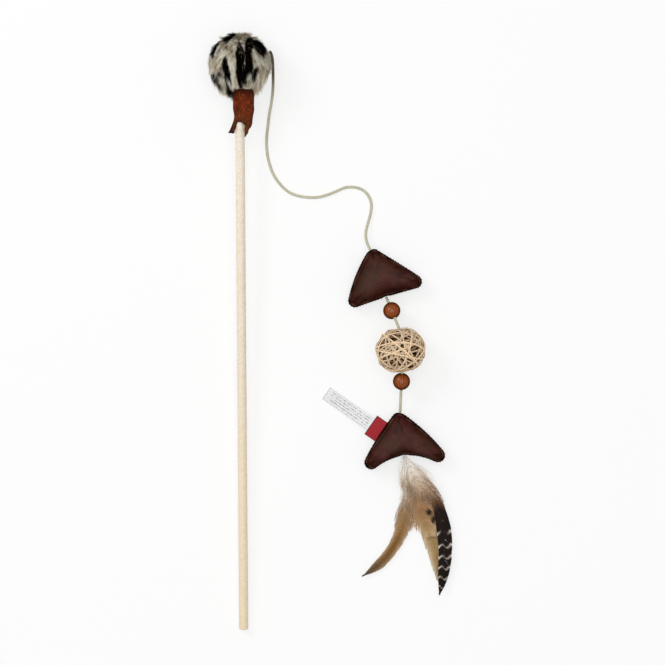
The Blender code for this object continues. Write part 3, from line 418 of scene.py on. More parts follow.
# Each black streak, in millimetres right of the middle and up the stick, with its half width
STREAKS = (
    ((-3.4, 25.6, 1.3), (-8.2, 22.6, 3.0), (-11.2, 19.6, 3.1)),
    ((-18.2, 18.4, 1.4), (-21.2, 14.4, 2.4), (-22.9, 11.1, 2.8), (-23.8, 7.4, 2.4), (-23.2, 3.9, 1.0)),
    ((0.2, 15.9, 0.9), (0.8, 11.7, 2.7), (1.4, 7.4, 4.2), (1.4, 1.3, 4.0), (0.9, -3.9, 3.2),
     (0.2, -8.3, 2.8), (0.8, -13.5, 3.2), (1.2, -17.8, 2.2), (1.4, -22.2, 1.4)),
    ((9.2, 17.8, 3.2), (8.9, 14.4, 3.7), (8.4, 10.0, 3.2), (8.0, 6.5, 3.0), (8.4, 2.2, 3.2),
     (9.0, -2.2, 3.6), (8.4, -6.5, 4.2), (5.6, -10.0, 3.0), (3.2, -14.4, 1.8)),
    ((15.8, 15.2, 3.7), (18.4, 11.8, 4.4), (20.4, 8.6, 3.6), (21.6, 5.0, 1.7)),
    ((-12.1, 3.0, 1.3), (-12.5, -2.2, 3.0), (-11.2, -6.5, 3.1), (-9.9, -10.0, 2.6), (-8.2, -13.5, 1.6)),
    ((-17.7, -10.0, 1.3), (-15.1, -12.4, 1.8), (-11.7, -14.1, 1.6), (-8.2, -15.4, 2.2), (-5.1, -17.4, 1.5)),
    ((-23.0, -10.6, 1.3), (-21.0, -13.9, 2.0), (-18.7, -15.9, 2.0)),
    ((-24.6, -14.6, 1.4), (-22.0, -17.8, 1.8)),
    ((15.4, -6.0, 1.3), (14.6, -9.1, 1.8), (13.1, -12.6, 2.0), (12.3, -17.0, 2.0)),
    ((3.1, -16.5, 1.5), (6.2, -18.7, 2.4), (9.1, -18.6, 1.6)),
    ((-18.4, -21.2, 1.8), (-16.2, -24.2, 2.6)),
    ((-11.6, -21.6, 1.9), (-9.9, -24.6, 2.8), (-7.8, -28.0, 2.4)),
)
chance = np.random.default_rng(11)


def even_directions(count):
    """Directions spread evenly over a ball: heights in equal steps, turns by the golden angle."""
    step = np.arange(count) + 0.5
    height = 1 - 2 * step / count
    turn = pi * (1 + sqrt(5)) * step
    level = np.sqrt(1 - height ** 2)
    return np.stack([level * np.cos(turn), level * np.sin(turn), height], -1)


def unit(vectors):
    """Each vector made one long."""
    return vectors / np.maximum(np.linalg.norm(vectors, axis=-1, keepdims=True), 1e-12)


def bell(x, middle, half, power=2):
    """One at the middle, falling away on both sides by e to the minus distance to a power."""
    return np.exp(-np.abs((x - middle) / half) ** power)


def off_streak(places):
    """How far each place lies outside the nearest streak, in millimetres; inside it is below 0."""
    least = np.full(len(places), 99.0)
    for streak in STREAKS:
        for a, b in zip(np.array(streak), np.array(streak)[1:]):
            run = b[:2] - a[:2]
            share = np.clip((places - a[:2]) @ run / (run @ run), 0, 1)
            off = np.linalg.norm(places - a[:2] - share[:, None] * run, axis=1)
            least = np.minimum(least, off - (a[2] + (b[2] - a[2]) * share))
    return least


def ribbons(centres, sides):
    """Thin flat ribbons, as points and faces. Centres hold each ribbon's places along it, and
    sides the way and distance from there to its edge: its edges are centre minus and plus side."""
    points = np.stack([centres - sides, centres + sides], 2)
    return points.reshape(-1, 3), grid_faces(points.shape[1], 2, pieces=len(points))


looks = Finish("plush_fur", 0.8, Specular_IOR_Level=0.0)
strands = looks.noise(looks.places(), 2400, 3)
tint = looks.mix(looks.span(strands, 0.3, 0.7), looks.own("fur_tint", "Color"),
                 (0.85, 0.83, 0.8), "MULTIPLY")
plush_fur = looks.done(tint, looks.relief(strands, 0.0001))

way = unit(even_directions(HAIRS) + chance.normal(0, 0.012, (HAIRS, 3)))
way = way[way[:, 2] > BALD_BELOW]
swirl = 0.45 * np.sin(way @ (7, 3, 9) + 2 * np.sin(way @ (4, -6, 3))) * (1 - way[:, 2] ** 4)
swirl = swirl + chance.normal(0, 0.10, len(way))
down = way * way[:, 2:] - (0, 0, 1) + unit(np.cross(way, (0, 0, 1))) * swirl[:, None]
lie = unit(down - way * (down * way).sum(1, keepdims=True))
cropped = 1 - 0.28 * np.clip(way[:, 2] * 1.3, 0, 1) ** 1.5
length = (HAIR_LENGTH * chance.uniform(0.72, 1.15, len(way)) * cropped)[:, None, None]
t = np.linspace(0, 1, HAIR_STEPS)[None, :, None]
# A hair is its root plus its length times (0.82 t - 0.30 t^2) outwards and (0.18 t + 0.55 t^2)
# the way it lies, then its tip is drawn to its lock's
hair = ((way * (CLOTH_RADIUS - HAIR_SEATED))[:, None] + way[:, None] * length * (0.82 * t - 0.30 * t ** 2)
        + lie[:, None] * length * (0.18 * t + 0.55 * t ** 2)
        + chance.normal(0, HAIR_STRAY, (len(way), 1, 3)) * t ** 2)
lock = (way.astype(np.float32) @ even_directions(LOCKS).astype(np.float32).T).argmax(1)
members = np.maximum(np.bincount(lock, minlength=LOCKS), 1)[:, None]
tips = np.stack([np.bincount(lock, hair[:, -1, i], LOCKS) for i in range(3)], -1) / members
tousled = tips + chance.normal(0, LOCK_STRAY, tips.shape)
hair += (tousled[lock] - hair[:, -1] + (hair[:, -1] - tips[lock]) * LOCK_LOOSE)[:, None] * t ** 2
bulge = (hair[..., 0] > 0.016) * bell(hair[..., 1], *BULGE_DEEP) * bell(hair[..., 2], *BULGE_LONG, 4)
hair *= (1 + BULGE * bulge)[..., None]
# Tufts hang past the collar's top beside it, and in front of it the collar pushes the fur back
hang = (ramp(-hair[..., 2], TUFT_FROM, TUFT_RUN)
        * np.where(hair[..., 0] < -0.006, TUFT_HANG_LEFT, TUFT_HANG_RIGHT) * t[..., 0] ** 2)
hair[..., 2] -= hang * (1 + 0.4 * np.sin(way @ (23, 17, 5)))[:, None]
pushed = (hair[..., 1] < 0) * bell(hair[..., 0], *TUCKED_ACROSS, 6)
low = TUCKED_BELOW - 0.0012 * np.sin(hair[..., 0] * 900) ** 2
hair[..., 2] -= np.minimum(hair[..., 2] - low, 0) * pushed * TUCKED_SHARE
oval = np.hypot((hair[..., 0] - COLLAR_ASIDE) / COLLAR_ROOM[0], hair[..., 1] / COLLAR_ROOM[1])
clear = np.where((hair[..., 2] < TUCKED_BELOW) & (oval < 1), 1 / np.maximum(oval, 0.3), 1)
hair[..., 0] = COLLAR_ASIDE + (hair[..., 0] - COLLAR_ASIDE) * clear
hair[..., 1] *= clear
# Its tint: black in the streaks, whose edges are ragged, and elsewhere cream with darker tan patches, partly
# its own tone and partly painted soft shade
off = off_streak((hair[..., [0, 2]] * 1000).reshape(-1, 2)).reshape(hair.shape[:2])
ragged = chance.normal(0, 0.28, len(way)) + 0.4 * np.sin(way @ (41, 23, 17)) * np.cos(way @ (13, 37, -29))
off = 0.45 * off + (0.275 * (off[:, 2] + off[:, 3]) + ragged)[:, None]
black = np.clip(0.7 - off / 0.5, 0, 1)[..., None]
tan_and_shade_patch = ((0.5 + 0.5 * np.sin(way @ (9, 4, 5) + 2.0 * np.sin(way @ (3, 7, -4)))) ** 1.5)[:, None]
pale = FUR_CREAM * (1 - tan_and_shade_patch) + FUR_TAN_AND_SHADE * tan_and_shade_patch
pale = pale * chance.uniform(0.86, 1.05, (len(way), 1)) * chance.uniform(0.84, 1.08, LOCKS)[lock][:, None]
dark = FUR_BLACK * chance.uniform(0.4, 1.5, (len(way), 1))
# Each hair is darker towards its root: painted shade among the hairs
tint = (pale[:, None] * (1 - black) + dark[:, None] * black) * (0.55 + 0.47 * t ** 0.7)
hair = on_pompom(hair)
hair[..., 2] = np.maximum(hair[..., 2], HAIR_LOWEST * (1 + t[..., 0]))
wide = unit(np.cross(way, lie) + way * chance.normal(0, 0.35, (len(way), 1)))
side = on_wand(wide[:, None] * (HAIR_WIDTH / 2 * (1 - 0.86 * t ** 1.5))) - BUTT
fur = filled_mesh("pompom_fur", *ribbons(hair, side), plush_fur)
give(fur, "fur_tint", np.repeat(tint.reshape(-1, 3), 2, axis=0))
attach(fur, "wand")

# Inside the pompom: its wadding, and the white thread that is wound tight round the cloth's
# neck to tie it to the stick. The same thread binds the feathers' quills in their triangle.
NECK_TURNS = 9
THREAD_DIAMETER = 0.00056
THREAD_FROM = -0.0322
THREAD_REACH = 0.0050


def finish_node(node, look):
    """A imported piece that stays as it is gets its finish."""
    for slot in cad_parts[node].material_slots:
        slot.material = look


looks = Finish("loose_wadding", 0.95)
lumps = looks.noise(looks.places(), 420, 5, 0.7, 0.6)
threads = looks.waves(looks.places(), 900, 6)
wadding = looks.done(looks.blend(lumps, (226, 226, 222), (250, 250, 248)),
                     looks.relief(looks.sum(lumps, threads), 0.0006))
looks = Finish("twisted_thread", 0.8)
plies = looks.waves(looks.places(turn=(0.6, 0.5, 0.8)), 2600, 1.2, "DIAGONAL")
thread = looks.done(looks.blend(plies, (190, 184, 164), (230, 226, 210)),
                    looks.relief(plies, 0.0002))
for node in ("pompom_filling", "upper_triangle_filling", "lower_triangle_filling"):
    finish_node(node, wadding)
finish_node("feather_binding", thread)

# The thread is a helix, and its section a ring square to the helix's way
angle = np.linspace(0, 2 * pi * NECK_TURNS, NECK_TURNS * 40)
drop = THREAD_FROM - angle / angle[-1] * NECK_TURNS * THREAD_DIAMETER
winding = on_pompom(np.stack([THREAD_REACH * np.cos(angle), THREAD_REACH * np.sin(angle), drop], -1))
ahead = unit(np.gradient(winding, axis=0))
outward = unit(winding - on_pompom(np.stack([0 * drop, 0 * drop, drop], -1)))
ring = np.linspace(0, 2 * pi, 8, endpoint=False)[None, :, None]
shape = (winding[:, None] + THREAD_DIAMETER / 2
         * (outward[:, None] * np.cos(ring) + np.cross(outward, ahead)[:, None] * np.sin(ring)))
shape[0], shape[-1] = winding[0], winding[-1]
neck_thread = close(tube("neck_thread", shape, thread))
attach(neck_thread, "wand")
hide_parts("neck_binding")

# The collar: a strip of red-brown leather rolled round the bound neck, cut below to an arch
# between a blunt flared tail on the left and a pointed one on the right. Its cut edges are raw.
COLLAR_WALL = 0.0008
COLLAR_FLARE = 0.0058
COLLAR_TOP = POMPOM_ALONG - 0.0222
COLLAR_LENGTH = 0.0390
COLLAR_SQUARE = 0.77            # a power under one makes its section squarer than an oval
COLLAR_ROWS = 40
COLLAR_COLUMNS = 360
ARCH_DEPTH = 0.0104
ARCH_MIDDLE = -20.0
ARCH_HALF = 40.0
# How far its walls are from the stick's middle, by the share of its fall: left, right, front
COLLAR_LEFT = np.array([(0, .0061), (.42, .0060), (.62, .0051), (1, .0050)])
COLLAR_RIGHT = np.array([(0, .0119), (.45, .0122), (.75, .0107), (1, .0080)])
COLLAR_FRONT = np.array([(0, .0067), (.42, .0064), (1, .0056)])
# Its length by angle from its front, positive to the right, before the arch is cut
COLLAR_EDGE = np.array([(-180, .0299), (-118, .0372), (-92, .0386), (-60, .0392), (-20, .0396), (8, .0404),
                        (22, .0422), (48, .0396), (75, .0346), (92, .0292), (180, .0299)])


def eased(angle, stations):
    """A value between the named stations, eased by half a cosine from each to the next."""
    at = np.clip(np.searchsorted(stations[:, 0], angle, "right") - 1, 0, len(stations) - 2)
    share = (angle - stations[at, 0]) / (stations[at + 1, 0] - stations[at, 0])
    share = (1 - np.cos(pi * share)) / 2
    return stations[at, 1] + (stations[at + 1, 1] - stations[at, 1]) * share


def squared(x):
    """A sine or cosine to a power under one, with its own sign, for a squarer oval."""
    return np.abs(x) ** COLLAR_SQUARE * np.sign(x)


looks = Finish("mottled_leather", 0.62, Specular_IOR_Level=0.07)
places = looks.places()
cloud = looks.noise(places, 260, 4, 0.62, 0.5)
scratch = looks.noise(looks.places((1, 0.35, 1), (0, 0, 0.6)), 620, 4, 0.7, 1.5)
pebble = looks.cells(places, 1900)
tint = looks.blend(looks.span(cloud, 0.35, 0.65), (72, 21, 7), (122, 50, 15),
                   (looks.span(scratch, 0.54, 0.68, 0, 0.8), (162, 78, 38)),
                   (looks.span(scratch, 0.32, 0.44, 0.6, 0), (62, 16, 8)),
                   (looks.own("low"), (92, 54, 18)),
                   # The edge attribute darkens the raw cut edges and paints shade on the sides
                   (looks.own("edge"), (30, 8, 5)))
mottled_leather = looks.done(tint, looks.relief(looks.sum(pebble, scratch), 0.00022),
                             looks.span(cloud, 0.3, 0.7, 0.5, 0.72))

# Its rows run down the outside and up the inside again
angle = np.linspace(-180, 180, COLLAR_COLUMNS, endpoint=False)[None, :]
turn = np.radians(angle)
fall = np.linspace(0, 1, COLLAR_ROWS)
fall = np.concatenate([fall, fall[::-1]])[:, None]
inner = np.repeat([0.0, 1.0], COLLAR_ROWS)[:, None]
rough_cut = 0.00016 * np.sin(turn * 31) + 0.00012 * np.sin(turn * 53 + 1)
arch = ARCH_DEPTH * np.sqrt(np.clip(1 - np.abs((angle - ARCH_MIDDLE) / ARCH_HALF) ** 2.6, 0, 1))
reach = (eased(angle, COLLAR_EDGE) - arch + rough_cut) * fall
down = np.clip(reach / COLLAR_LENGTH, 0, 1)
crease = (0.00022 * np.sin(turn * 5 + fall * 9) * np.sin(fall * 11 + 1)
          + 0.00012 * np.sin(turn * 13 + fall * 21)) * np.clip(fall * 4, 0, 1)
wall = crease - COLLAR_WALL * inner
left, right, front = (eased(down, at) + wall for at in (COLLAR_LEFT, COLLAR_RIGHT, COLLAR_FRONT))
left_tail = ramp(angle, -56, -34) * ramp(angle, -165, 50)
flare = COLLAR_FLARE * left_tail ** 0.8 * ramp(down, 0.60, 0.40) ** 1.9
shape = np.stack([(right - left) / 2 + squared(np.sin(turn)) * (right + left) / 2 - flare,
                  -front * squared(np.cos(turn)), COLLAR_TOP - reach + 0 * left], -1)
collar = tube("leather_collar", on_wand(shape), mottled_leather, round_rows=True)
# Its edges are dark where the hide was cut, and its sides carry painted shade where they turn from the light
painted_side_shade = ramp(np.abs(np.sin(turn)), 0.80, 0.20) ** 1.5
cut_edge = ramp(fall * reach - reach, -0.0016, 0.0012) + ramp(fall * reach, 0.0008, -0.0008)
give(collar, "edge", np.clip(0.85 * painted_side_shade + 0.75 * cut_edge, 0, 0.92))
give(collar, "low", np.clip(fall - 0.55, 0, 1) * 1.3 + 0 * angle)
close(collar)
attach(collar, "wand")
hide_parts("collar")

# The cord: a round waxed braid of pale olive yarn. Its upper length leaves the fur beside the
# stick's end, falls past the pompom, wanders over the floor and climbs into the upper triangle.
CORD_DIAMETER = 0.0025
CORD_SIDES = 16
CORD_END = (0.02, 0.6, 0.9)     # how its first three rings open to its full thickness
EXIT = np.array([-0.05204, 0.24344, 0.02645])
UPPER_PIVOT = np.array([0.03486, 0.07184, 0.0105])
UPPER_LENGTH = 0.2598
FUR_SHADE_TO = 0.046                # painted shade of the fur, where the cord leaves it
FUR_SHADE_RUN = 0.024
# The route from the exit, in the plan from there and in height from the floor
UPPER_ROUTE = np.array([
    (0.0018, -0.0045, 0.0262), (0.0026, -0.0094, 0.0256), (0.0029, -0.0180, 0.0236),
    (0.0029, -0.0267, 0.0204), (0.0025, -0.0354, 0.0163), (0.0012, -0.0450, 0.0115),
    (-0.0006, -0.0541, 0.0072), (-0.0018, -0.0633, 0.0040), (-0.0030, -0.0737, 0.0019),
    (-0.0030, -0.0824, 0.0013), (-0.0017, -0.0928, 0.0013), (0.0018, -0.1041, 0.0013),
    (0.0070, -0.1128, 0.0013), (0.0144, -0.1204, 0.0013), (0.0227, -0.1245, 0.0013),
    (0.0331, -0.1263, 0.0013), (0.0436, -0.1259, 0.0013), (0.0540, -0.1226, 0.0013),
    (0.0645, -0.1181, 0.0013), (0.0701, -0.1173, 0.0013), (0.0758, -0.1179, 0.0013),
    (0.0814, -0.1203, 0.0013), (0.0862, -0.1255, 0.0013), (0.0884, -0.1328, 0.0013),
    (0.0875, -0.1411, 0.0016), (0.0856, -0.1481, 0.0025), (0.0839, -0.1546, 0.0041),
    (0.0835, -0.1607, 0.0062), (0.0848, -0.1668, 0.0087),
])


def evenly(line, count, endpoint=True):
    """That many places at even steps along a line of many places."""
    along = np.concatenate([[0], np.cumsum(np.linalg.norm(np.diff(line, axis=0), axis=1))])
    at = np.linspace(0, along[-1], count, endpoint=endpoint)
    return np.stack([np.interp(at, along, axis) for axis in line.T], -1)


def smooth_run(route, count):
    """Even points on a smooth curve through a route: between two of its points the curve is the
    cubic whose slope at each is half the step from the point before to the one after."""
    p = np.asarray(route, float)
    p = np.vstack([2 * p[0] - p[1], p, 2 * p[-1] - p[-2]])
    t = np.linspace(0, 1, 40, endpoint=False)[None, :, None]
    a, b, c, d = (p[i:len(p) - 3 + i, None] for i in range(4))
    dense = 0.5 * (2 * b + (c - a) * t + (2 * a - 5 * b + 4 * c - d) * t ** 2
                   + (3 * b - 3 * c + d - a) * t ** 3)
    return evenly(np.vstack([dense.reshape(-1, 3), p[-2:-1]]), count)


def round_section(sides):
    """A circle of radius one, as that many points."""
    turn = np.linspace(0, 2 * pi, sides, endpoint=False)
    return np.stack([np.cos(turn), np.sin(turn)], -1)


def carried(path, sides, radius):
    """A round section carried along a path: place plus across times the section's first number
    plus up times its second, where across is square to the path and lies level."""
    ahead = unit(np.gradient(path, axis=0))
    across = unit(np.cross(ahead, (0, 0, 1)))
    up = np.cross(across, ahead)
    section = round_section(sides)[None] * radius[:, None, None]
    return path[:, None] + across[:, None] * section[..., :1] + up[:, None] * section[..., 1:]


def flat_map(piece, rows, columns, along, shifts=(0,)):
    """A tube's own map: once round it is one, and its rows run to along. Where the piece holds
    several tubes, each one's map is shifted."""
    u = np.linspace(0, 1, columns + 1)
    v = np.linspace(0, along, rows)
    cell = np.stack(np.meshgrid(v, u, indexing="ij")[::-1], -1)
    corners = np.stack([cell[:-1, :-1], cell[:-1, 1:], cell[1:, 1:], cell[1:, :-1]], 2)
    corners = corners[None] + np.reshape(shifts, (-1, 1, 1, 1, 1))
    layer = piece.data.uv_layers.new(name="lay")
    layer.data.foreach_set("uv", corners.astype(np.float32).ravel())


looks = Finish("braided_cord", 0.72, Specular_IOR_Level=0.3)
right_hand = looks.waves(looks.places((6, 6, 1), (0, 0, pi / 4), flat=True), 1.0)
left_hand = looks.waves(looks.places((6, 6, 1), (0, 0, -pi / 4), flat=True), 1.0)
yarns = looks.sum(right_hand, left_hand, "MAXIMUM")
tint = looks.blend(looks.span(yarns, 0.35, 0.95), (182, 176, 144), (236, 232, 206),
                   (looks.span(looks.noise(looks.places(), 90), 0.4, 0.7, 0, 0.5), (206, 200, 170)),
                   # Painted shade of the fur over the cord's first length
                   (looks.own("fur_shade"), (96, 88, 64)))
braided_cord = looks.done(tint, looks.relief(yarns, 0.00018))


def make_cord(name, path, node, body, length):
    """A cord of even thickness along a path, its two ends rounded over."""
    thick = np.full(len(path), CORD_DIAMETER / 2)
    thick[:3] *= CORD_END
    thick[-3:] *= CORD_END[::-1]
    cord = tube(name, carried(path, CORD_SIDES, thick), braided_cord)
    flat_map(cord, len(path), CORD_SIDES, length / (pi * CORD_DIAMETER))
    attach(cord, body)
    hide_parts(node)
    return cord


plan = UPPER_ROUTE + (EXIT[0], EXIT[1], 0)
inside_triangle = UPPER_PIVOT + (0.0007, -0.0022, 0)
upper_path = smooth_run(np.vstack([EXIT, plan, UPPER_PIVOT, inside_triangle]), 420)
upper_cord = make_cord("upper_braid", upper_path, "upper_cord", "free_cord", UPPER_LENGTH)
from_fur = np.linspace(0, UPPER_LENGTH, len(upper_path))
give(upper_cord, "fur_shade", np.repeat(ramp(from_fur, FUR_SHADE_TO, -FUR_SHADE_RUN), CORD_SIDES))
for node in ("anchor_cord", "upper_triangle_cord", "lower_triangle_cord"):
    finish_node(node, braided_cord)

# The two stuffed triangles: each is two panels of soft dark brown leather, sewn together right
# round, turned so that the seam's edges lie inside, filled with wadding and closed on the cord.
SEAM_HEIGHT = 0.0105
HALF_THICKNESS = 0.0108
SETTLED = 0.0003                # how far the leather sinks into its filling
DENT_DEPTH = 0.00022
SPOKES = 300
RINGS = 34
CROWN_SHARES = (0.46, 0.27, 0.27)
PUCKERS = 31
PUCKER_DEPTH = 0.00050
PUCKER_REACH = 0.0024
SEAM_GROOVE = 0.00055
SEAM_RIDGE = 0.00025
# Creases from each corner: their turn from the way to the crown, and their depth
CREASES = ((-0.30, 0.00022), (0.02, 0.00030), (0.33, 0.00018))
CREASE_HALF = 0.0011
DIMPLE_HALF = 0.0030
DIMPLE_SHARE = 0.30
STITCHES = 64
STITCH_HEIGHT = 0.0020
STITCH_THICKNESS = 0.00032


def touching(centre, target, radius, way):
    """The angle at which a line from a target touches a corner's round."""
    to = target - centre
    return atan2(to[1], to[0]) + way * acos(min(1.0, radius / np.hypot(*to)))


def bent(a, bend, b, t):
    """A thrown ball's path, (1-t)^2 a + 2t(1-t) bend + t^2 b."""
    return a * (1 - t) ** 2 + bend * 2 * t * (1 - t) + b * t ** 2


def triangle_line(corners, bows, radius):
    """The seam's line, evenly: rounds at the corners, and sides that bend between them like a
    thrown ball's path. Also gives each side's three points."""
    sides = []
    for a, b, bow in zip(corners, np.roll(corners, -1, 0), bows):
        run = unit(b - a)
        bend = (a + b) / 2 + np.array([run[1], -run[0]]) * (radius + 2 * bow)
        leave, arrive = touching(a, bend, radius, -1), touching(b, bend, radius, 1)
        sides.append((a + radius * np.array([cos(leave), sin(leave)]), bend,
                      b + radius * np.array([cos(arrive), sin(arrive)]), leave, arrive))
    t = np.linspace(0, 1, 80, endpoint=False)[:, None]
    line = []
    for i, corner in enumerate(corners):
        start, bend, end, leave, _ = sides[i]
        angle = sides[i - 1][4] + ((leave - sides[i - 1][4]) % (2 * pi)) * t
        line += [corner + radius * np.hstack([np.cos(angle), np.sin(angle)]), bent(start, bend, end, t)]
    return evenly(np.vstack(line + [line[0][:1]]), SPOKES, endpoint=False), sides


looks = Finish("dark_leather", 0.52, Specular_IOR_Level=0.12)
places = looks.places()
grain = looks.cells(places, 1050, "SMOOTH_F1")
fine = looks.noise(places, 2600, 3)
cloud = looks.noise(places, 95, 4, 0.6, 0.4)
stain = looks.noise(looks.places(shift=(0.4, 0.2, 0)), 55, 3)
# The seam attribute is painted shade at the leather's edges, creases and puckers
seam = looks.own("seam")
tint = looks.blend(looks.span(cloud, 0.38, 0.62), (57, 25, 18), (83, 42, 33),
                   (looks.span(stain, 0.50, 0.66, 0, 0.75), (68, 44, 28)),
                   (looks.span(stain, 0.30, 0.44, 0.6, 0), (72, 20, 22)),
                   (looks.span(grain, 0.15, 0.55, 0.35, 0), (38, 18, 17)),
                   (seam, (14, 5, 4)),
                   # The worn attribute is a lighter line by the seam's ridge, partly wear and partly painted
                   # highlight
                   (looks.own("worn"), (128, 84, 72)))
looks.set(looks.shader, Specular_IOR_Level=looks.span(seam, 0.05, 0.5, 0.13, 0.0))
skin_grain = looks.relief(looks.sum(grain, looks.times(fine, 0.35)), 0.00016)
dark_leather = looks.done(tint, skin_grain, looks.span(cloud, 0.3, 0.7, 0.40, 0.54))
looks = Finish("seam_thread", 0.7)
plies = looks.waves(looks.places(turn=(0.6, 0.5, 0.8)), 3000, 1.0, "DIAGONAL")
seam_thread = looks.done(looks.blend(plies, (40, 22, 20), (72, 46, 42)), looks.relief(plies, 0.0001))


def creases(plan, corners, crown, seed):
    """Soft lines that run from each corner towards the crown, each a bell across its way and a
    longer one along it."""
    depth_here = 0
    for i, corner in enumerate(corners):
        for turn, depth in CREASES:
            to = crown - corner
            heading = atan2(to[1], to[0]) + turn + 0.12 * sin(5 * i + seed + 9 * turn)
            ahead = np.array([cos(heading), sin(heading)])
            off = plan - corner
            along = off @ ahead
            aside = off @ np.array([-ahead[1], ahead[0]]) + 0.0006 * np.sin(along * 700 + i)
            depth_here = depth_here + depth * bell(aside, 0, CREASE_HALF) * bell(along, 0.004, 0.009)
    return depth_here


def stuffed_triangle(name, corners, bows, radius, mouths, seed):
    """The leather over its filling. On each spoke from the crown to the seam's line the reach
    is the cosine of the rise to a power under one, and the height is its sine. Puckers fold
    the leather inwards near the seam, and soft dents and creases run in from the corners."""
    line, sides = triangle_line(corners, bows, radius)
    crown = sum(corner * share for corner, share in zip(corners, CROWN_SHARES))
    rise = np.linspace(0, 1, RINGS) ** 1.35 * pi / 2
    rise = np.concatenate([rise[::-1], -rise[1:]])[:, None]
    reach = np.cos(rise) ** 0.70
    share = np.linspace(0, 1, SPOKES, endpoint=False)[None, :]
    run = np.linalg.norm(line - crown, axis=1)[None, :]
    inward = run * (1 - reach)
    phase = 2 * pi * (PUCKERS * share + 0.35 * np.sin(2 * pi * 5 * share + seed)
                      + 0.22 * np.sin(2 * pi * 11 * share + 2 * seed))
    fold = np.clip(0.5 + 0.5 * np.cos(phase + 2.2 * np.sign(rise)), 0, 1) ** 2
    strength = 0.55 + 0.45 * np.sin(2 * pi * 4 * share + 3 * seed)
    pull = PUCKER_DEPTH * fold * strength * np.exp(-inward / PUCKER_REACH) * ramp(inward, 0, 0.0006)
    groove = SEAM_GROOVE * bell(inward, 0, 0.00045) - SEAM_RIDGE * bell(inward, 0.0012, 0.001)
    plan = crown + (line - crown)[None] * (reach - (pull + groove) / run)[..., None]
    crease = creases(plan, corners, crown, seed)
    x, y = plan[..., 0], plan[..., 1]
    dents = (np.sin(x * 260 + 1.7 * np.sin(y * 190 + seed)) * np.sin(y * 230 + 1.3 * np.sin(x * 170))
             + 0.5 * np.sin(x * 520 + y * 310 + seed) * np.sin(y * 470 - x * 200))
    height = HALF_THICKNESS * np.abs(np.sin(rise)) ** 0.92
    height = height - (crease + DENT_DEPTH * dents + SETTLED) * ramp(height, 0, 0.004)
    for place in mouths:
        off = np.linalg.norm(plan - place[:2], axis=-1, keepdims=True)
        dimple = bell(off, 0, DIMPLE_HALF)
        plan = plan + unit(crown - place[:2]) * 0.0007 * dimple
        height = height * (1 - DIMPLE_SHARE * dimple[..., 0])
    level = np.maximum(SEAM_HEIGHT + np.sign(rise) * height, 0.0003)
    leather = tube(name + "_leather", np.concatenate([plan, level[..., None]], -1), dark_leather)
    # Painted shade: the leather is darker towards the seam where its sides turn away, further in on the side
    # that faces down the toy, and in its creases and puckers
    lower_side_shade = np.clip(-unit(line - crown)[:, 1], 0, 1)[None, :]
    edge = 0.97 * bell(inward, 0, 0.0019, 4) + 0.74 * bell(inward, 0, 0.0060 + 0.0030 * lower_side_shade, 1.3)
    # Its patches along the ridge are partly wear and partly painted highlight where the fold catches the
    # light
    ridge_wear_and_highlight = 0.5 + 0.5 * np.sin(2 * pi * 9 * share + 4 * np.sin(2 * pi * 3 * share))
    give(leather, "worn", 0.5 * ridge_wear_and_highlight * bell(inward, 0.0024, 0.0005) + 0 * rise)
    give(leather, "seam", np.clip(edge + 0.3 * crease / 0.0005 + 0.6 * pull / 0.0005, 0, 1))
    close(leather)
    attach(leather, name)
    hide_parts(name + "_front_panel", name + "_back_panel")
    make_stitches(name + "_stitches", line, crown, mouths, name)
    return sides


def make_stitches(name, line, crown, mouths, body):
    """Short stitches that bridge the seam from panel to panel, each a bowed thread."""
    at = np.linspace(0, len(line), STITCHES, endpoint=False).astype(int)
    root = line[at] + unit(crown - line[at]) * 0.00045
    clear = np.min([np.linalg.norm(root - m[:2], axis=1) for m in mouths], 0) > 0.004
    root, at = root[clear], at[clear]
    ahead = unit(np.roll(line, -1, 0) - np.roll(line, 1, 0))[at]
    out = np.stack([ahead[:, 1], -ahead[:, 0]], -1)
    bow = np.linspace(-1, 1, 6)[None, :, None]
    centre = np.concatenate([
        root[:, None] + out[:, None] * (0.00035 * (1 - bow ** 2)) + ahead[:, None] * (0.0004 * bow),
        np.broadcast_to(SEAM_HEIGHT + STITCH_HEIGHT / 2 * bow, (len(root), 6, 1))], -1)
    thick = STITCH_THICKNESS / 2 * np.array([0.4, 1, 1, 1, 1, 0.4])[None, :, None, None]
    ring = round_section(6)[None, None]
    ahead, out = (np.concatenate([v, np.zeros((len(v), 1))], -1)[:, None, None] for v in (ahead, out))
    ring = ahead * ring[..., :1] + out * ring[..., 1:]
    stitches = tube(name, centre[:, :, None] + ring * thick, seam_thread)
    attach(stitches, body)


def triangle_corners(pivot, mouth_angle, radius, left, right):
    """The middles of the three corner rounds, the first just inside the cord's way in."""
    apex = pivot[:2] - radius * np.array([cos(mouth_angle), sin(mouth_angle)])
    return np.array([apex, apex + left, apex + right])


LOWER_CORD_PIVOT = np.array([0.04937, 0.02952, SEAM_HEIGHT])
UPPER_ROUNDS = 0.0060
upper_corners = triangle_corners(UPPER_PIVOT, radians(118.7), UPPER_ROUNDS,
                                 left=(-0.0160, -0.0400), right=(0.0370, -0.0233))
stuffed_triangle("upper_triangle", upper_corners, (0.0020, -0.0005, 0.0003), UPPER_ROUNDS,
                 [UPPER_PIVOT, LOWER_CORD_PIVOT], seed=0.4)

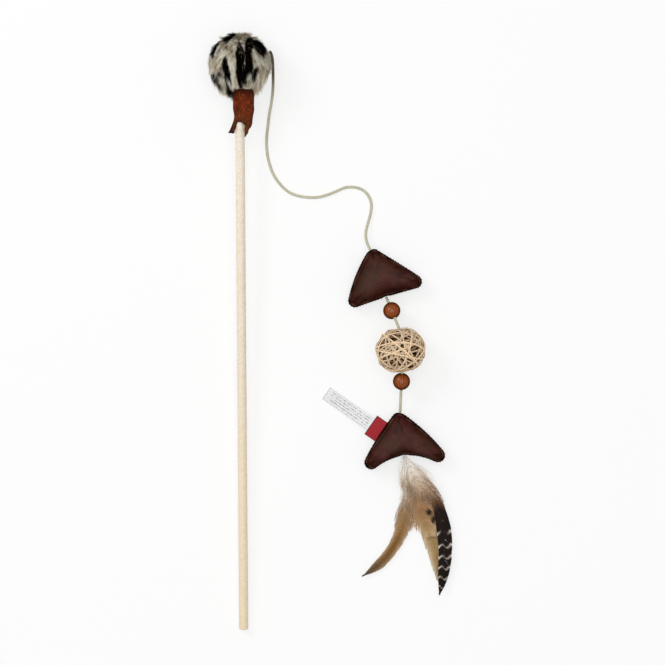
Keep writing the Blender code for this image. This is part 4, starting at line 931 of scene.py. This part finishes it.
# The cord between the triangles: the same braid, drawn tight through a bead, the ball and a
# second bead. It rises from the upper triangle's seam to the ball's middle and falls again.
UPPER_RUN = 0.0308
LOWER_RUN = 0.0361
LOWER_LENGTH = 0.1093
BALL_HALF = 0.019488
BEND = 0.0015
BALL_CENTRE = np.array([0.06123, -0.01632, 0.0224])
LOWER_PIVOT = np.array([0.06122, -0.06982, SEAM_HEIGHT])
ALONG_BALL = unit(np.array([0.06976, -0.99756, 0]))
toward = unit(np.array([0.34105, -0.85701, 0.38628]))
leaving = unit(np.array([-0.03789, -0.94337, -0.32957]))
near_pole, far_pole = BALL_CENTRE - ALONG_BALL * BALL_HALF, BALL_CENTRE + ALONG_BALL * BALL_HALF


def stations(start, way, shares, run):
    """Places at those shares of a straight run."""
    return start + way * run * np.array(shares)[:, None]


lower_path = smooth_run(np.vstack([
    stations(LOWER_CORD_PIVOT, toward, (-0.04, 0, 0.25, 0.5, 0.75), UPPER_RUN),
    near_pole - toward * BEND, near_pole + ALONG_BALL * BEND,
    stations(BALL_CENTRE, ALONG_BALL, (-0.5, 0, 0.5), BALL_HALF),
    far_pole - ALONG_BALL * 2 * BEND, far_pole,
    stations(far_pole, leaving, (0.12, 0.35, 0.6, 0.8, 1, 1.06), LOWER_RUN)]), 180)
make_cord("lower_braid", lower_path, "lower_cord", "toy_cord", LOWER_LENGTH)

# The two beads: beech turned to a ball, bored, stained orange brown and lacquered to a shine.
# They are threaded on the cord, one on each side of the ball.
BEAD_RADIUS = 0.0075
BORE_RADIUS = 0.0016
BEAD_LIP = 0.0004
UPPER_BEAD_ALONG = 0.0133       # from the upper triangle
LOWER_BEAD_ALONG = 0.0080       # from the ball


def placed(points, place, ahead):
    """Points about an axis, put at a place with that axis running ahead."""
    across = unit(np.cross((1, 0, 0), ahead))
    return (place + points[..., :1] * across + points[..., 1:2] * np.cross(ahead, across)
            + points[..., 2:] * ahead)


def bead_finish(name, ahead):
    """Stained wood under a clear coat, its grain along the bore."""
    looks = Finish(name, 0.40, Coat_Roughness=0.22)
    turn = (0, 0, -atan2(ahead[0], -ahead[1]))
    places = looks.places((1, 0.16, 1), turn)
    fibres = looks.noise(places, 1500, 4, 0.6)
    rings = looks.waves(looks.places((1, 0.22, 1), turn), 260, 5.0)
    dots = looks.span(looks.noise(places, 3200, 2), 0.60, 0.74)
    # Darker round the bore, and painted shade on the under half
    darker_bore_and_under_shade = looks.own("darker_bore_and_under_shade")
    tint = looks.blend(looks.span(rings, 0.2, 0.9), (118, 53, 17), (172, 92, 38),
                       (looks.span(fibres, 0.45, 0.75, 0, 0.7), (100, 38, 10)),
                       (looks.times(dots, 0.6), (70, 24, 8)),
                       (darker_bore_and_under_shade, (44, 14, 6)))
    looks.set(looks.shader, Specular_IOR_Level=looks.span(darker_bore_and_under_shade, 0, 0.3, 0.15, 0.0),
              Coat_Weight=looks.span(darker_bore_and_under_shade, 0, 0.35, 0.35, 0.0))
    return looks.done(tint, looks.relief(fibres, 0.00004), looks.span(fibres, 0.3, 0.8, 0.30, 0.42))


edge = degrees(asin((BORE_RADIUS + BEAD_LIP) / BEAD_RADIUS))
lip_across, lip_along = BORE_RADIUS + BEAD_LIP, BEAD_RADIUS * cos(radians(edge)) - BEAD_LIP * 0.7
bead_shape = turned(np.vstack([
    arc(BEAD_RADIUS, 90 - edge, edge - 90, 44),
    arc(BEAD_LIP, -60, -170, 6, (lip_across, -lip_along)),
    arc(BEAD_LIP, 170, 60, 6, (lip_across, lip_along))]), 64)
for name, node, body, place, ahead in (
        ("upper_wooden_bead", "upper_bead", "bead_above_ball",
         LOWER_CORD_PIVOT + toward * UPPER_BEAD_ALONG, toward),
        ("lower_wooden_bead", "lower_bead", "bead_below_ball",
         far_pole + leaving * LOWER_BEAD_ALONG, leaving)):
    shape = placed(bead_shape, place, ahead)
    bead = tube(name, shape, bead_finish(name + "_finish", ahead), round_rows=True)
    # It is darker round the bore, and its under half carries painted shade
    off_axis = np.hypot(bead_shape[..., 0], bead_shape[..., 1])
    under = 0.92 * ramp((shape[..., 2] - place[2]) / BEAD_RADIUS, 0.82, -0.55)
    give(bead, "darker_bore_and_under_shade", np.maximum(np.clip(1.25 - off_axis / 0.0032, 0, 1), under))
    close(bead)
    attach(bead, body)
    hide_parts(node)

# The rattan ball: split cane wound damp round and round, every turn across the ones before,
# until it holds itself; its flat strips dry nearly straight between the places where they cross.
STRIP_WIDTH = 0.0015
STRIP_THICKNESS = 0.00055
STRIP_EASED = 0.86              # the share of its width that is flat
BALL_RADIUS = 0.0223
BALL_PRESSED = 0.87             # drawn in where the cord goes through it
BALL_SHOULDER = 0.05
BALL_SAG = 0.0006               # it has settled a little wider than it is high
# Each layer's radius, its turns, and how much painted shade darkens it, from the outside in
TURNS_BY_LAYER = ((0.0222, 17, 0.00), (0.0211, 19, 0.18), (0.0197, 15, 0.74), (0.0174, 18, 0.93),
                  (0.0150, 22, 1.00))
STEPS_ROUND = 72
TURN_STRAY = 0.11
CLEAR_OF_CORD = 0.13
FRESH_CANE = np.array(srgb(255, 230, 196))
DEPTH_SHADED_CANE = np.array(srgb(98, 58, 22))
STAINED_SHARE = 0.25            # of the turns
STAINED = 0.72
chance = np.random.default_rng(5)


def square_turns(count, level):
    """Unit axes for that many turns, one of each opposite pair, spread evenly and turned by
    chance about the cord, each kept off the cord's own way."""
    axes = even_directions(count * 2 + 6)
    axes = axes[axes[:, 2] > 0]
    turn = chance.uniform(0, 2 * pi)
    axes = np.stack([axes[:, 0] * cos(turn) - axes[:, 1] * sin(turn),
                     axes[:, 0] * sin(turn) + axes[:, 1] * cos(turn), axes[:, 2]], -1)
    axes = unit(axes + chance.normal(0, TURN_STRAY, axes.shape))
    return axes[np.abs(axes[:, 2]) > CLEAR_OF_CORD + 0.05 * level]


looks = Finish("split_cane", 0.7, Specular_IOR_Level=0.03)
fibres = looks.noise(looks.places((14, 0.5, 1), flat=True), 5.0, 4, 0.65)
flecks = looks.span(looks.noise(looks.places((3, 0.7, 1), flat=True), 2.3, 3), 0.58, 0.72, 0, 0.55)
tint = looks.mix(looks.span(fibres, 0.35, 0.7), looks.own("cane_tint", "Color"),
                 (0.86, 0.77, 0.66), "MULTIPLY")
tint = looks.coats(tint, (flecks, (170, 128, 84)))
split_cane = looks.done(tint, looks.relief(fibres, 0.00012), looks.span(fibres, 0.3, 0.7, 0.5, 0.68))

# A strip's section is a box whose four corners are a little eased. It is carried round each
# turn's circle, which wavers in height and to the side
half_wide, half_thick = STRIP_WIDTH / 2, STRIP_THICKNESS / 2
flat = half_wide * STRIP_EASED
section = np.array([(-half_wide, 0), (-flat, half_thick), (flat, half_thick),
                    (half_wide, 0), (flat, -half_thick), (-flat, -half_thick)])
angle = np.linspace(0, 2 * pi, STEPS_ROUND, endpoint=False)
points, tints = [], []
for radius, count, dark in TURNS_BY_LAYER:
    axes = square_turns(count, dark)
    count = len(axes)
    first = unit(np.cross(axes, (0.3, 0.8, 0.5)))
    second = np.cross(axes, first)
    shift = chance.uniform(-0.30, 0.30, (count, 1, 1)) * (np.abs(axes[:, 2]) > 0.55)[:, None, None]
    level = radius - chance.uniform(0, 0.0009, (count, 1, 1))
    wobble = (0.00045 * np.sin(angle * 3 + chance.uniform(0, 6, (count, 1)))
              - 0.00050 * np.abs(np.sin(angle * 2.5 + chance.uniform(0, 6, (count, 1)))))[..., None]
    sway = 0.06 * np.sin(angle * 2 + chance.uniform(0, 6, (count, 1)))[..., None]
    out = unit(first[:, None] * np.cos(angle)[None, :, None] + second[:, None] * np.sin(angle)[None, :, None]
               + axes[:, None] * (shift + sway))
    path = out * (level + wobble)
    ahead = unit(np.roll(path, -1, 1) - np.roll(path, 1, 1))
    across = unit(np.cross(ahead, out) + out * chance.normal(0, 0.22, (count, 1, 1)))
    up = np.cross(across, ahead)
    narrow = chance.uniform(0.72, 1.15, (count, 1, 1, 1))
    points.append(path[:, :, None] + across[:, :, None] * section[None, None, :, :1] * narrow
                  + up[:, :, None] * section[None, None, :, 1:])
    fresh = FRESH_CANE * np.where(chance.random((count, 1)) < STAINED_SHARE, STAINED, 1.0)
    fresh = fresh * chance.uniform(0.92, 1.14, (count, 1))
    # Inner layers are darker: painted shade in the depths of the winding
    depth_shaded = DEPTH_SHADED_CANE * chance.uniform(0.7, 1.2, (count, 1))
    tints.append(np.repeat(fresh * (1 - dark) + depth_shaded * dark, STEPS_ROUND * len(section), 0))
points = np.concatenate(points)
reach = np.hypot(points[..., 0], points[..., 1])
points[..., 2] *= BALL_PRESSED + BALL_SHOULDER * ramp(reach, 0.004, 0.004)
most = BALL_RADIUS + BALL_SAG * (points[..., 1] / np.maximum(reach, 1e-6)) ** 4
points[..., :2] *= np.minimum(1, most / np.maximum(reach, 1e-6))[..., None]
ball = tube("cane_ball", placed(points, BALL_CENTRE, ALONG_BALL), split_cane, round_rows=True)
give(ball, "cane_tint", np.concatenate(tints))
flat_map(ball, STEPS_ROUND + 1, len(section), STEPS_ROUND / 6, np.arange(len(points)) * 0.37)
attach(ball, "ball")
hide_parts("rattan_ball")

# The lower triangle: made and stuffed like the upper one, with its lower side drawn in to a
# deep hollow where the feathers go in.
FEATHER_PIVOT = np.array([0.06502, -0.10855, SEAM_HEIGHT])
LOWER_ROUNDS = 0.0062
lower_corners = triangle_corners(LOWER_PIVOT, radians(80), LOWER_ROUNDS,
                                 left=(-0.0242, -0.0383), right=(0.0345, -0.0320))
lower_sides = stuffed_triangle("lower_triangle", lower_corners, (0.0012, -0.0083, 0.0018), LOWER_ROUNDS,
                               [LOWER_PIVOT, FEATHER_PIVOT], seed=1.9)

# The two labels: woven satin ribbon cut to length, caught in the left seam. The long white one
# droops to the floor, with rows of generic grey dashes; the short red one on it is plain.
LABEL_HEADING = radians(145)
LABEL_SEWN_AT = 0.40            # of the left side, from the top
LABEL_IN_SEAM = 0.0012
REACHES_FLOOR = 0.045
FLOOR_ROOM = 0.0006
CURL_HEIGHT = 0.0007
CUP_HEIGHT = 0.0012
LABEL_ROWS, LABEL_COLUMNS = 90, 25
DASH_ROWS = 34.6                # how far their sine runs across the ribbon, in radians
MARGIN_TOP = 0.0125
MARGIN_END = 0.004
label_out = np.array([cos(LABEL_HEADING), sin(LABEL_HEADING)])
label_across = np.array([-label_out[1], label_out[0]])
label_root = bent(*lower_sides[0][:3], LABEL_SEWN_AT)


def satin_finish(name, tint_low, tint_high):
    """Satin's two ways of thread, with grey dashes in rows and a darker hem."""
    looks = Finish(name + "_satin", 0.38, Sheen_Weight=0.3, Sheen_Roughness=0.4)
    lay = looks.places((1, 1, 1), (0, 0, -LABEL_HEADING))
    warp = looks.waves(lay, 1250, 0.3, "Y")
    weft = looks.waves(lay, 900, 0.2, "X")
    cloth = looks.sum(warp, looks.times(weft, 0.5))
    rows = looks.span(looks.sum(looks.times(looks.own("across"), DASH_ROWS), 0.0, "SINE"), 0.2, 0.7)
    dashes = looks.span(looks.noise(looks.places(), 800, 2), 0.44, 0.52)
    marks = looks.times(looks.times(rows, dashes), looks.own("printed"))
    tint = looks.blend(looks.span(cloth, 0.2, 1.2), tint_low, tint_high, (marks, (120, 120, 122)))
    tint = looks.mix(looks.own("hem"), tint, tuple(0.3 * c for c in srgb(*tint_low)))
    return looks.done(tint, looks.relief(cloth, 0.00008))


def make_label(name, node, flat, lift, wall, satin, curl, edge_shade):
    """Ribbon in two layers a wall apart: place = root + out times run + across times width,
    and its height eases from the seam down to the floor like half a cosine wave."""
    width, length = flat
    run = np.linspace(-LABEL_IN_SEAM, length, LABEL_ROWS)[:, None]
    over = np.linspace(-0.5, 0.5, LABEL_COLUMNS)
    over = np.concatenate([over, -over])[None, :]
    side = np.repeat([1.0, -1.0], LABEL_COLUMNS)[None, :]
    ease = (1 - np.cos(pi * ramp(run, 0, REACHES_FLOOR))) / 2
    level = SEAM_HEIGHT - 0.0004 + (FLOOR_ROOM - SEAM_HEIGHT) * ease
    loose = ramp(run, 0, 0.02)
    wave = curl * (CURL_HEIGHT * np.sin(run * 190 + 2.5 * over) * loose + CUP_HEIGHT * over ** 2 * loose)
    thin = np.ones_like(run)
    thin[[0, -1]] = 0
    level = np.maximum(level + wave, 0.0004 + wall / 2) + lift + side * wall / 2 * thin
    plan = label_root + label_out * run[..., None] + label_across * (over * width)[..., None]
    label = tube(name, np.concatenate([plan, level[..., None]], -1), satin)
    hem = ramp(np.abs(over), 0.455, 0.03) + ramp(run, length - 0.0012, 0.0006)
    inside = ramp(np.abs(over), 0.42, -0.02) * ramp(run, MARGIN_TOP, 0.001)
    give(label, "hem", np.clip(hem * edge_shade, 0, 1))
    give(label, "across", over + 0 * run)
    give(label, "printed", 0.75 * inside * ramp(run, length - MARGIN_END, -0.001))
    close(label)
    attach(label, "labels")
    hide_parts(node)


make_label("care_ribbon", "care_label", flat=(0.0124, 0.058), lift=0.0, wall=0.0003,
           satin=satin_finish("care_ribbon", (252, 252, 253), (255, 255, 255)), curl=1.0, edge_shade=0.15)
make_label("side_ribbon", "side_label", flat=(0.0197, 0.0105), lift=0.0009, wall=0.0006,
           satin=satin_finish("side_ribbon", (142, 10, 24), (196, 26, 44)), curl=0.35, edge_shade=0.75)

# The feathers: four cock's feathers and two tufts of down, bound at their quills and drawn into
# the lower triangle. Each is a shaft with two rows of barbs that lean to its tip, downy at first.
QUILL_DIAMETER = 0.0010
QUILL_RING = 0.00138
QUILL_INSIDE = 0.0080
QUILL_SIDES = 8
LAYER_HEIGHT = 0.0013
DROOP_LENGTH = 0.060
DROOPS_TO = 0.0017
LOWEST_BARB = 0.0004
BARB_SPACING = 0.00026
BARB_STEPS = 9
BARB_STRAY = 0.0012
BARB_THICKNESS = 0.00028
DOWN_THINNER = 0.00010
LONGEST_LEAN = 0.0175           # no barb runs further ahead along the shaft than this
VANE_CUP = 0.0007
STRAND = 6                      # neighbouring barbs that share a shade
# Light bars across the dark feather: how far each is from the bunch's mouth, in millimetres
BARS = np.array([67.2, 78.6, 88.3, 97.6, 106.6, 114.4])
BAR_WAVE = 1.3
# Dark spots on the short one: right of the mouth, below it, half width and half length
SPOTS = np.array([(21.8, -49.3, 1.7, 2.0), (25.6, -55.8, 1.5, 2.6)])
chance = np.random.default_rng(23)
looks = Finish("barbs", 0.7, Specular_IOR_Level=0.15)
hooks = looks.noise(looks.places(), 3600, 2)
tint = looks.mix(looks.span(hooks, 0.35, 0.7), looks.own("barb_tint", "Color"),
                 (0.84, 0.81, 0.77), "MULTIPLY")
barbs_finish = looks.done(tint, looks.relief(hooks, 0.00008))


def tints_along(at, stops):
    """A colour at each place, blended between stops of a place and a card colour."""
    colours = np.array([srgb(*stop[1:]) for stop in stops])
    return np.stack([np.interp(at, [stop[0] for stop in stops], part) for part in colours.T], -1)


def feather_level(plan, layer, lift):
    """How high a place of the bunch is: level with the seam at the mouth, down like half a
    cosine wave to the floor further out, and each feather on the one below."""
    away = np.linalg.norm(plan - FEATHER_PIVOT[:2], axis=-1)
    fall = (DROOPS_TO - SEAM_HEIGHT) * (1 - np.cos(pi * np.clip(away / DROOP_LENGTH, 0, 1))) / 2
    spread = np.clip(away / 0.012, 0, 1)
    spread = spread ** 2 * (3 - 2 * spread)
    return SEAM_HEIGHT + lift * (1 - spread) + fall + LAYER_HEIGHT * layer * spread


def light_bars(colour, plan, aside):
    """Across a dark vane, pale wavy bars: each runs level but for a sine of the place aside."""
    below = -(plan[..., 1] - FEATHER_PIVOT[1]) * 1000
    wave = BAR_WAVE * np.sin(pi * (aside + 0.03) / 0.65)
    off = np.abs((below - wave + chance.normal(0, 0.18, (len(below), 1)))[..., None] - BARS)
    edge = np.clip(np.abs(aside), 0, 1)[..., None]
    pale = np.clip((0.75 + 0.50 * edge - off) / 0.45, 0, 1) * (0.70 + 0.30 * edge)
    pale[..., 0] *= np.clip(np.abs(aside) * 1.6 - 0.5, 0, 1)
    pale = pale.max(-1)[..., None]
    bar = np.array(srgb(150, 132, 110)) * (1 - edge) + np.array(srgb(238, 232, 222)) * edge
    return colour * (1 - pale) + bar * pale


def dark_spots(colour, plan, aside):
    """A few soft dark ovals on a vane."""
    off = (plan - FEATHER_PIVOT[:2])[..., None, :] * 1000
    far = np.sqrt((((off - SPOTS[:, :2]) / SPOTS[:, 2:]) ** 2).sum(-1)).min(-1)[..., None]
    dark = np.clip(2.6 - 1.5 * far, 0, 1)
    return colour * (1 - dark) + np.array(srgb(22, 12, 8)) * dark


def make_feather(name, slot, order, layer, bend, tip, vanes, bare, downy, swell_by, blunt, ragged,
                 tint, edge_tint, shaft_tint, marks=None):
    """The shaft runs as (1-t)^2 a + 2t(1-t) bend + t^2 tip. A barb leaves it at share t and
    at a part q of its length has gone the vane's width times a curve of q to the side, and
    as far ahead again times q to a power, so that all lean to the tip and lie like tiles."""
    ring = radians(-90 + 60 * order)
    lift = QUILL_RING * sin(ring)
    start = FEATHER_PIVOT[:2] + (QUILL_RING * cos(ring), 0)
    bend, tip = FEATHER_PIVOT[:2] + bend, FEATHER_PIVOT[:2] + tip

    def shaft(t):
        return bent(start, bend, tip, t[..., None])

    # Where each barb leaves the shaft, how downy it is, and how wide the vane is there
    length = np.linalg.norm(np.diff(shaft(np.linspace(0, 1, 60)), axis=0), axis=1).sum()
    first = bare / length
    count = int((length - bare) / BARB_SPACING)
    t = np.repeat(np.linspace(first, 0.985, count), 2) + chance.normal(0, BARB_STRAY, 2 * count)
    hand = np.tile([-1.0, 1.0], count)
    s = np.clip((t - first) / (1 - first), 0.001, 0.999)
    fluff = np.clip((downy - s) / max(downy, 0.01) * 2.0, 0, 1)
    vane = np.where(hand < 0, vanes[0], vanes[1])
    swell = np.clip(s / swell_by, 0.04, 1) ** 0.7 * (1 - s ** blunt) ** 0.62 * (1 - s ** 14)
    parted = np.cumsum(chance.random(2 * count) < 0.035)
    part = chance.normal(0, 1, parted[-1] + 1)[parted]
    frayed = 1 + ragged * (chance.uniform(-0.14, 0.14, len(s)) + 0.05 * part)
    wide = np.maximum(vane * swell, 0.0006) * frayed * (1 + fluff * chance.uniform(-0.35, 0.75, len(s)))

    # The barbs' middle lines, in the plan and then in height
    q = np.linspace(0, 1, BARB_STEPS)
    ahead = unit(shaft(t + 0.01) - shaft(t - 0.01))
    aside = np.stack([-ahead[:, 1], ahead[:, 0]], -1) * hand[:, None]
    lean = (1.15 + 0.5 * s + 0.06 * ragged * part + fluff * chance.uniform(0.6, 2.1, len(s)))[:, None]
    out = wide[:, None] * (1 - (1 - q) ** 1.35)
    curl = fluff[:, None] * chance.normal(0, 0.0011, (len(s), 1))
    curl = curl * np.sin(q * chance.uniform(2, 5, (len(s), 1)))
    on = np.minimum(wide[:, None] * lean, LONGEST_LEAN) * q ** 1.5
    plan = shaft(t)[:, None] + aside[:, None] * (out + curl)[..., None] + ahead[:, None] * on[..., None]
    level = feather_level(plan, layer, lift) - VANE_CUP * (out / vane[:, None]) ** 2
    level = level + (fluff[:, None] * chance.normal(0, 0.0013, (len(s), 1)).clip(-0.0020, 0.0007)
                     + chance.normal(0, 0.00007, (len(s), 1))) * q
    centre = np.concatenate([plan, np.maximum(level, LOWEST_BARB)[..., None]], -1)

    # A barb is a flat strip: tilted like a tile in the vane, and any way round in the down
    tilt = 0.25 * hand * (1 - fluff) + fluff * chance.normal(0, 0.55, len(s))
    square = unit(np.cross(unit(np.gradient(centre, axis=1)), (0, 0, 1)))
    square = unit(square + np.array([0, 0, 1]) * tilt[:, None, None])
    thick = (BARB_THICKNESS - DOWN_THINNER * fluff)[:, None] * (1 - (0.25 + 0.5 * min(ragged, 1.2)) * q ** 2)
    barbs, barb_faces = ribbons(centre, square * thick[..., None])

    # Its colour goes from the vane's to the edge's along it, with a shade of its own
    share = np.clip(q * 1.6 - 0.5, 0, 1)[None, :, None]
    reached = np.clip(s[:, None] + 0.8 * on / length, 0, 1)
    colour = tints_along(reached, tint) * (1 - share) + tints_along(reached, edge_tint) * share
    if marks:
        colour = marks(colour, plan, (hand / vane)[:, None] * out)
    strand = np.repeat(chance.uniform(-1, 0.9, len(s) // STRAND + 1), STRAND)[:len(s)]
    streaky = 1 + chance.uniform(-1, 0.8, len(s)) * (0.08 + 0.12 * fluff) + strand * (0.15 + 0.15 * fluff)
    colour = colour * streaky[:, None, None]

    # The shaft is a round tube that thins from the quill to the tip
    at = np.linspace(0, 1, 46)
    plan = np.vstack([start + (0, QUILL_INSIDE), start + (0, QUILL_INSIDE / 2), shaft(at)])
    level = np.concatenate([[SEAM_HEIGHT + lift] * 2, feather_level(shaft(at), layer, lift) + 0.0001])
    thick = QUILL_DIAMETER / 2 * np.concatenate([[0.4, 1], 1 - 0.85 * at ** 0.8])
    quill = carried(np.concatenate([plan, level[:, None]], -1), QUILL_SIDES, thick)
    quill_tint = np.repeat(tints_along(np.concatenate([[0, 0], at]), shaft_tint), QUILL_SIDES, 0)
    faces = np.vstack([barb_faces, grid_faces(len(plan), QUILL_SIDES, False, True) + len(barbs)])
    feather = filled_mesh(name, np.vstack([barbs, quill.reshape(-1, 3)]), faces, barbs_finish)
    give(feather, "barb_tint", np.vstack([np.repeat(colour.reshape(-1, 3), 2, 0), quill_tint]))
    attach(feather, "feather_bunch")
    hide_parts(name.replace("_plume", ""))


make_feather(
    "feather_buff_plume", "buff_feather", order=0, layer=0,
    bend=(0.0268, -0.0625), tip=(0.0325, -0.1150), vanes=(0.0086, 0.0092),
    bare=0.012, downy=0.34, swell_by=0.22, blunt=2.1, ragged=0.8,
    tint=((0, 250, 244, 234), (0.12, 232, 220, 200), (0.24, 190, 160, 122), (0.5, 180, 146, 96),
          (0.8, 172, 144, 100), (1, 124, 104, 76)),
    edge_tint=((0, 246, 238, 226), (0.14, 222, 206, 186), (0.3, 180, 146, 108), (0.5, 216, 192, 158),
               (1, 216, 198, 170)),
    shaft_tint=((0, 240, 236, 222), (0.3, 216, 200, 168), (0.6, 168, 132, 84), (1, 104, 80, 54)))
make_feather(
    "feather_ginger_plume", "ginger_feather", order=5, layer=1,
    bend=(0.0148, -0.0752), tip=(-0.0375, -0.1056), vanes=(0.0058, 0.0062),
    bare=0.012, downy=0.36, swell_by=0.22, blunt=2.3, ragged=0.75,
    tint=((0, 248, 242, 232), (0.12, 222, 208, 188), (0.26, 170, 138, 102), (0.45, 156, 118, 72),
          (0.62, 134, 96, 50), (0.8, 126, 96, 58), (1, 78, 66, 52)),
    edge_tint=((0, 244, 236, 226), (0.14, 216, 200, 180), (0.3, 178, 144, 110), (0.55, 192, 162, 128),
               (0.75, 176, 146, 110), (0.88, 132, 112, 86), (1, 96, 84, 70)),
    shaft_tint=((0, 240, 236, 222), (0.22, 176, 146, 110), (0.6, 122, 84, 42), (1, 84, 64, 42)))
make_feather(
    "feather_barred_plume", "barred_feather", order=2, layer=3,
    bend=(0.0486, -0.0470), tip=(0.0302, -0.1228), vanes=(0.0060, 0.0064),
    bare=0.012, downy=0.33, swell_by=0.45, blunt=4.4, ragged=0.25,
    tint=((0, 244, 236, 226), (0.14, 196, 168, 140), (0.28, 128, 90, 62), (0.38, 34, 20, 14),
          (1, 18, 12, 8)),
    edge_tint=((0, 244, 236, 226), (0.16, 206, 178, 156), (0.30, 128, 90, 66), (0.40, 26, 16, 11),
               (1, 16, 11, 8)),
    shaft_tint=((0, 240, 236, 222), (0.3, 120, 90, 64), (0.4, 36, 24, 18), (1, 22, 15, 11)),
    marks=light_bars)
make_feather(
    "feather_brown_plume", "brown_feather", order=1, layer=2,
    bend=(0.0105, -0.0330), tip=(0.0225, -0.0710), vanes=(0.0105, 0.0135),
    bare=0.008, downy=0.70, swell_by=0.5, blunt=2.4, ragged=1.3,
    tint=((0, 248, 242, 230), (0.2, 226, 210, 188), (0.42, 182, 146, 110), (0.65, 162, 122, 84),
          (0.85, 178, 144, 100), (1, 192, 162, 118)),
    edge_tint=((0, 246, 238, 228), (0.25, 222, 200, 180), (0.5, 196, 162, 130), (0.7, 188, 154, 112),
               (0.85, 204, 176, 136), (1, 212, 188, 152)),
    shaft_tint=((0, 240, 236, 222), (0.3, 190, 158, 122), (1, 158, 124, 84)),
    marks=dark_spots)
# The two tufts of down have no firm vane
down = {"bare": 0.001, "downy": 3.0, "swell_by": 0.22, "blunt": 2.5, "ragged": 1.6}
make_feather(
    "feather_down_left_plume", "white_down", order=4, layer=4,
    bend=(0.0000, -0.0130), tip=(0.0004, -0.0260), vanes=(0.0036, 0.0046), **down,
    tint=((0, 254, 252, 249), (0.4, 250, 246, 238), (0.8, 228, 214, 194), (1, 198, 174, 144)),
    edge_tint=((0, 252, 250, 247), (0.4, 242, 236, 226), (0.7, 214, 198, 176), (1, 184, 158, 128)),
    shaft_tint=((0, 244, 241, 232), (1, 214, 200, 176)))
make_feather(
    "feather_down_right_plume", "cream_down", order=3, layer=5,
    bend=(0.0066, -0.0150), tip=(0.0180, -0.0345), vanes=(0.0050, 0.0088), **down,
    tint=((0, 254, 251, 246), (0.4, 246, 236, 222), (0.8, 206, 180, 152), (1, 172, 142, 110)),
    edge_tint=((0, 252, 248, 242), (0.4, 244, 230, 218), (0.7, 216, 192, 170), (1, 184, 156, 130)),
    shaft_tint=((0, 244, 241, 232), (1, 200, 176, 146)))
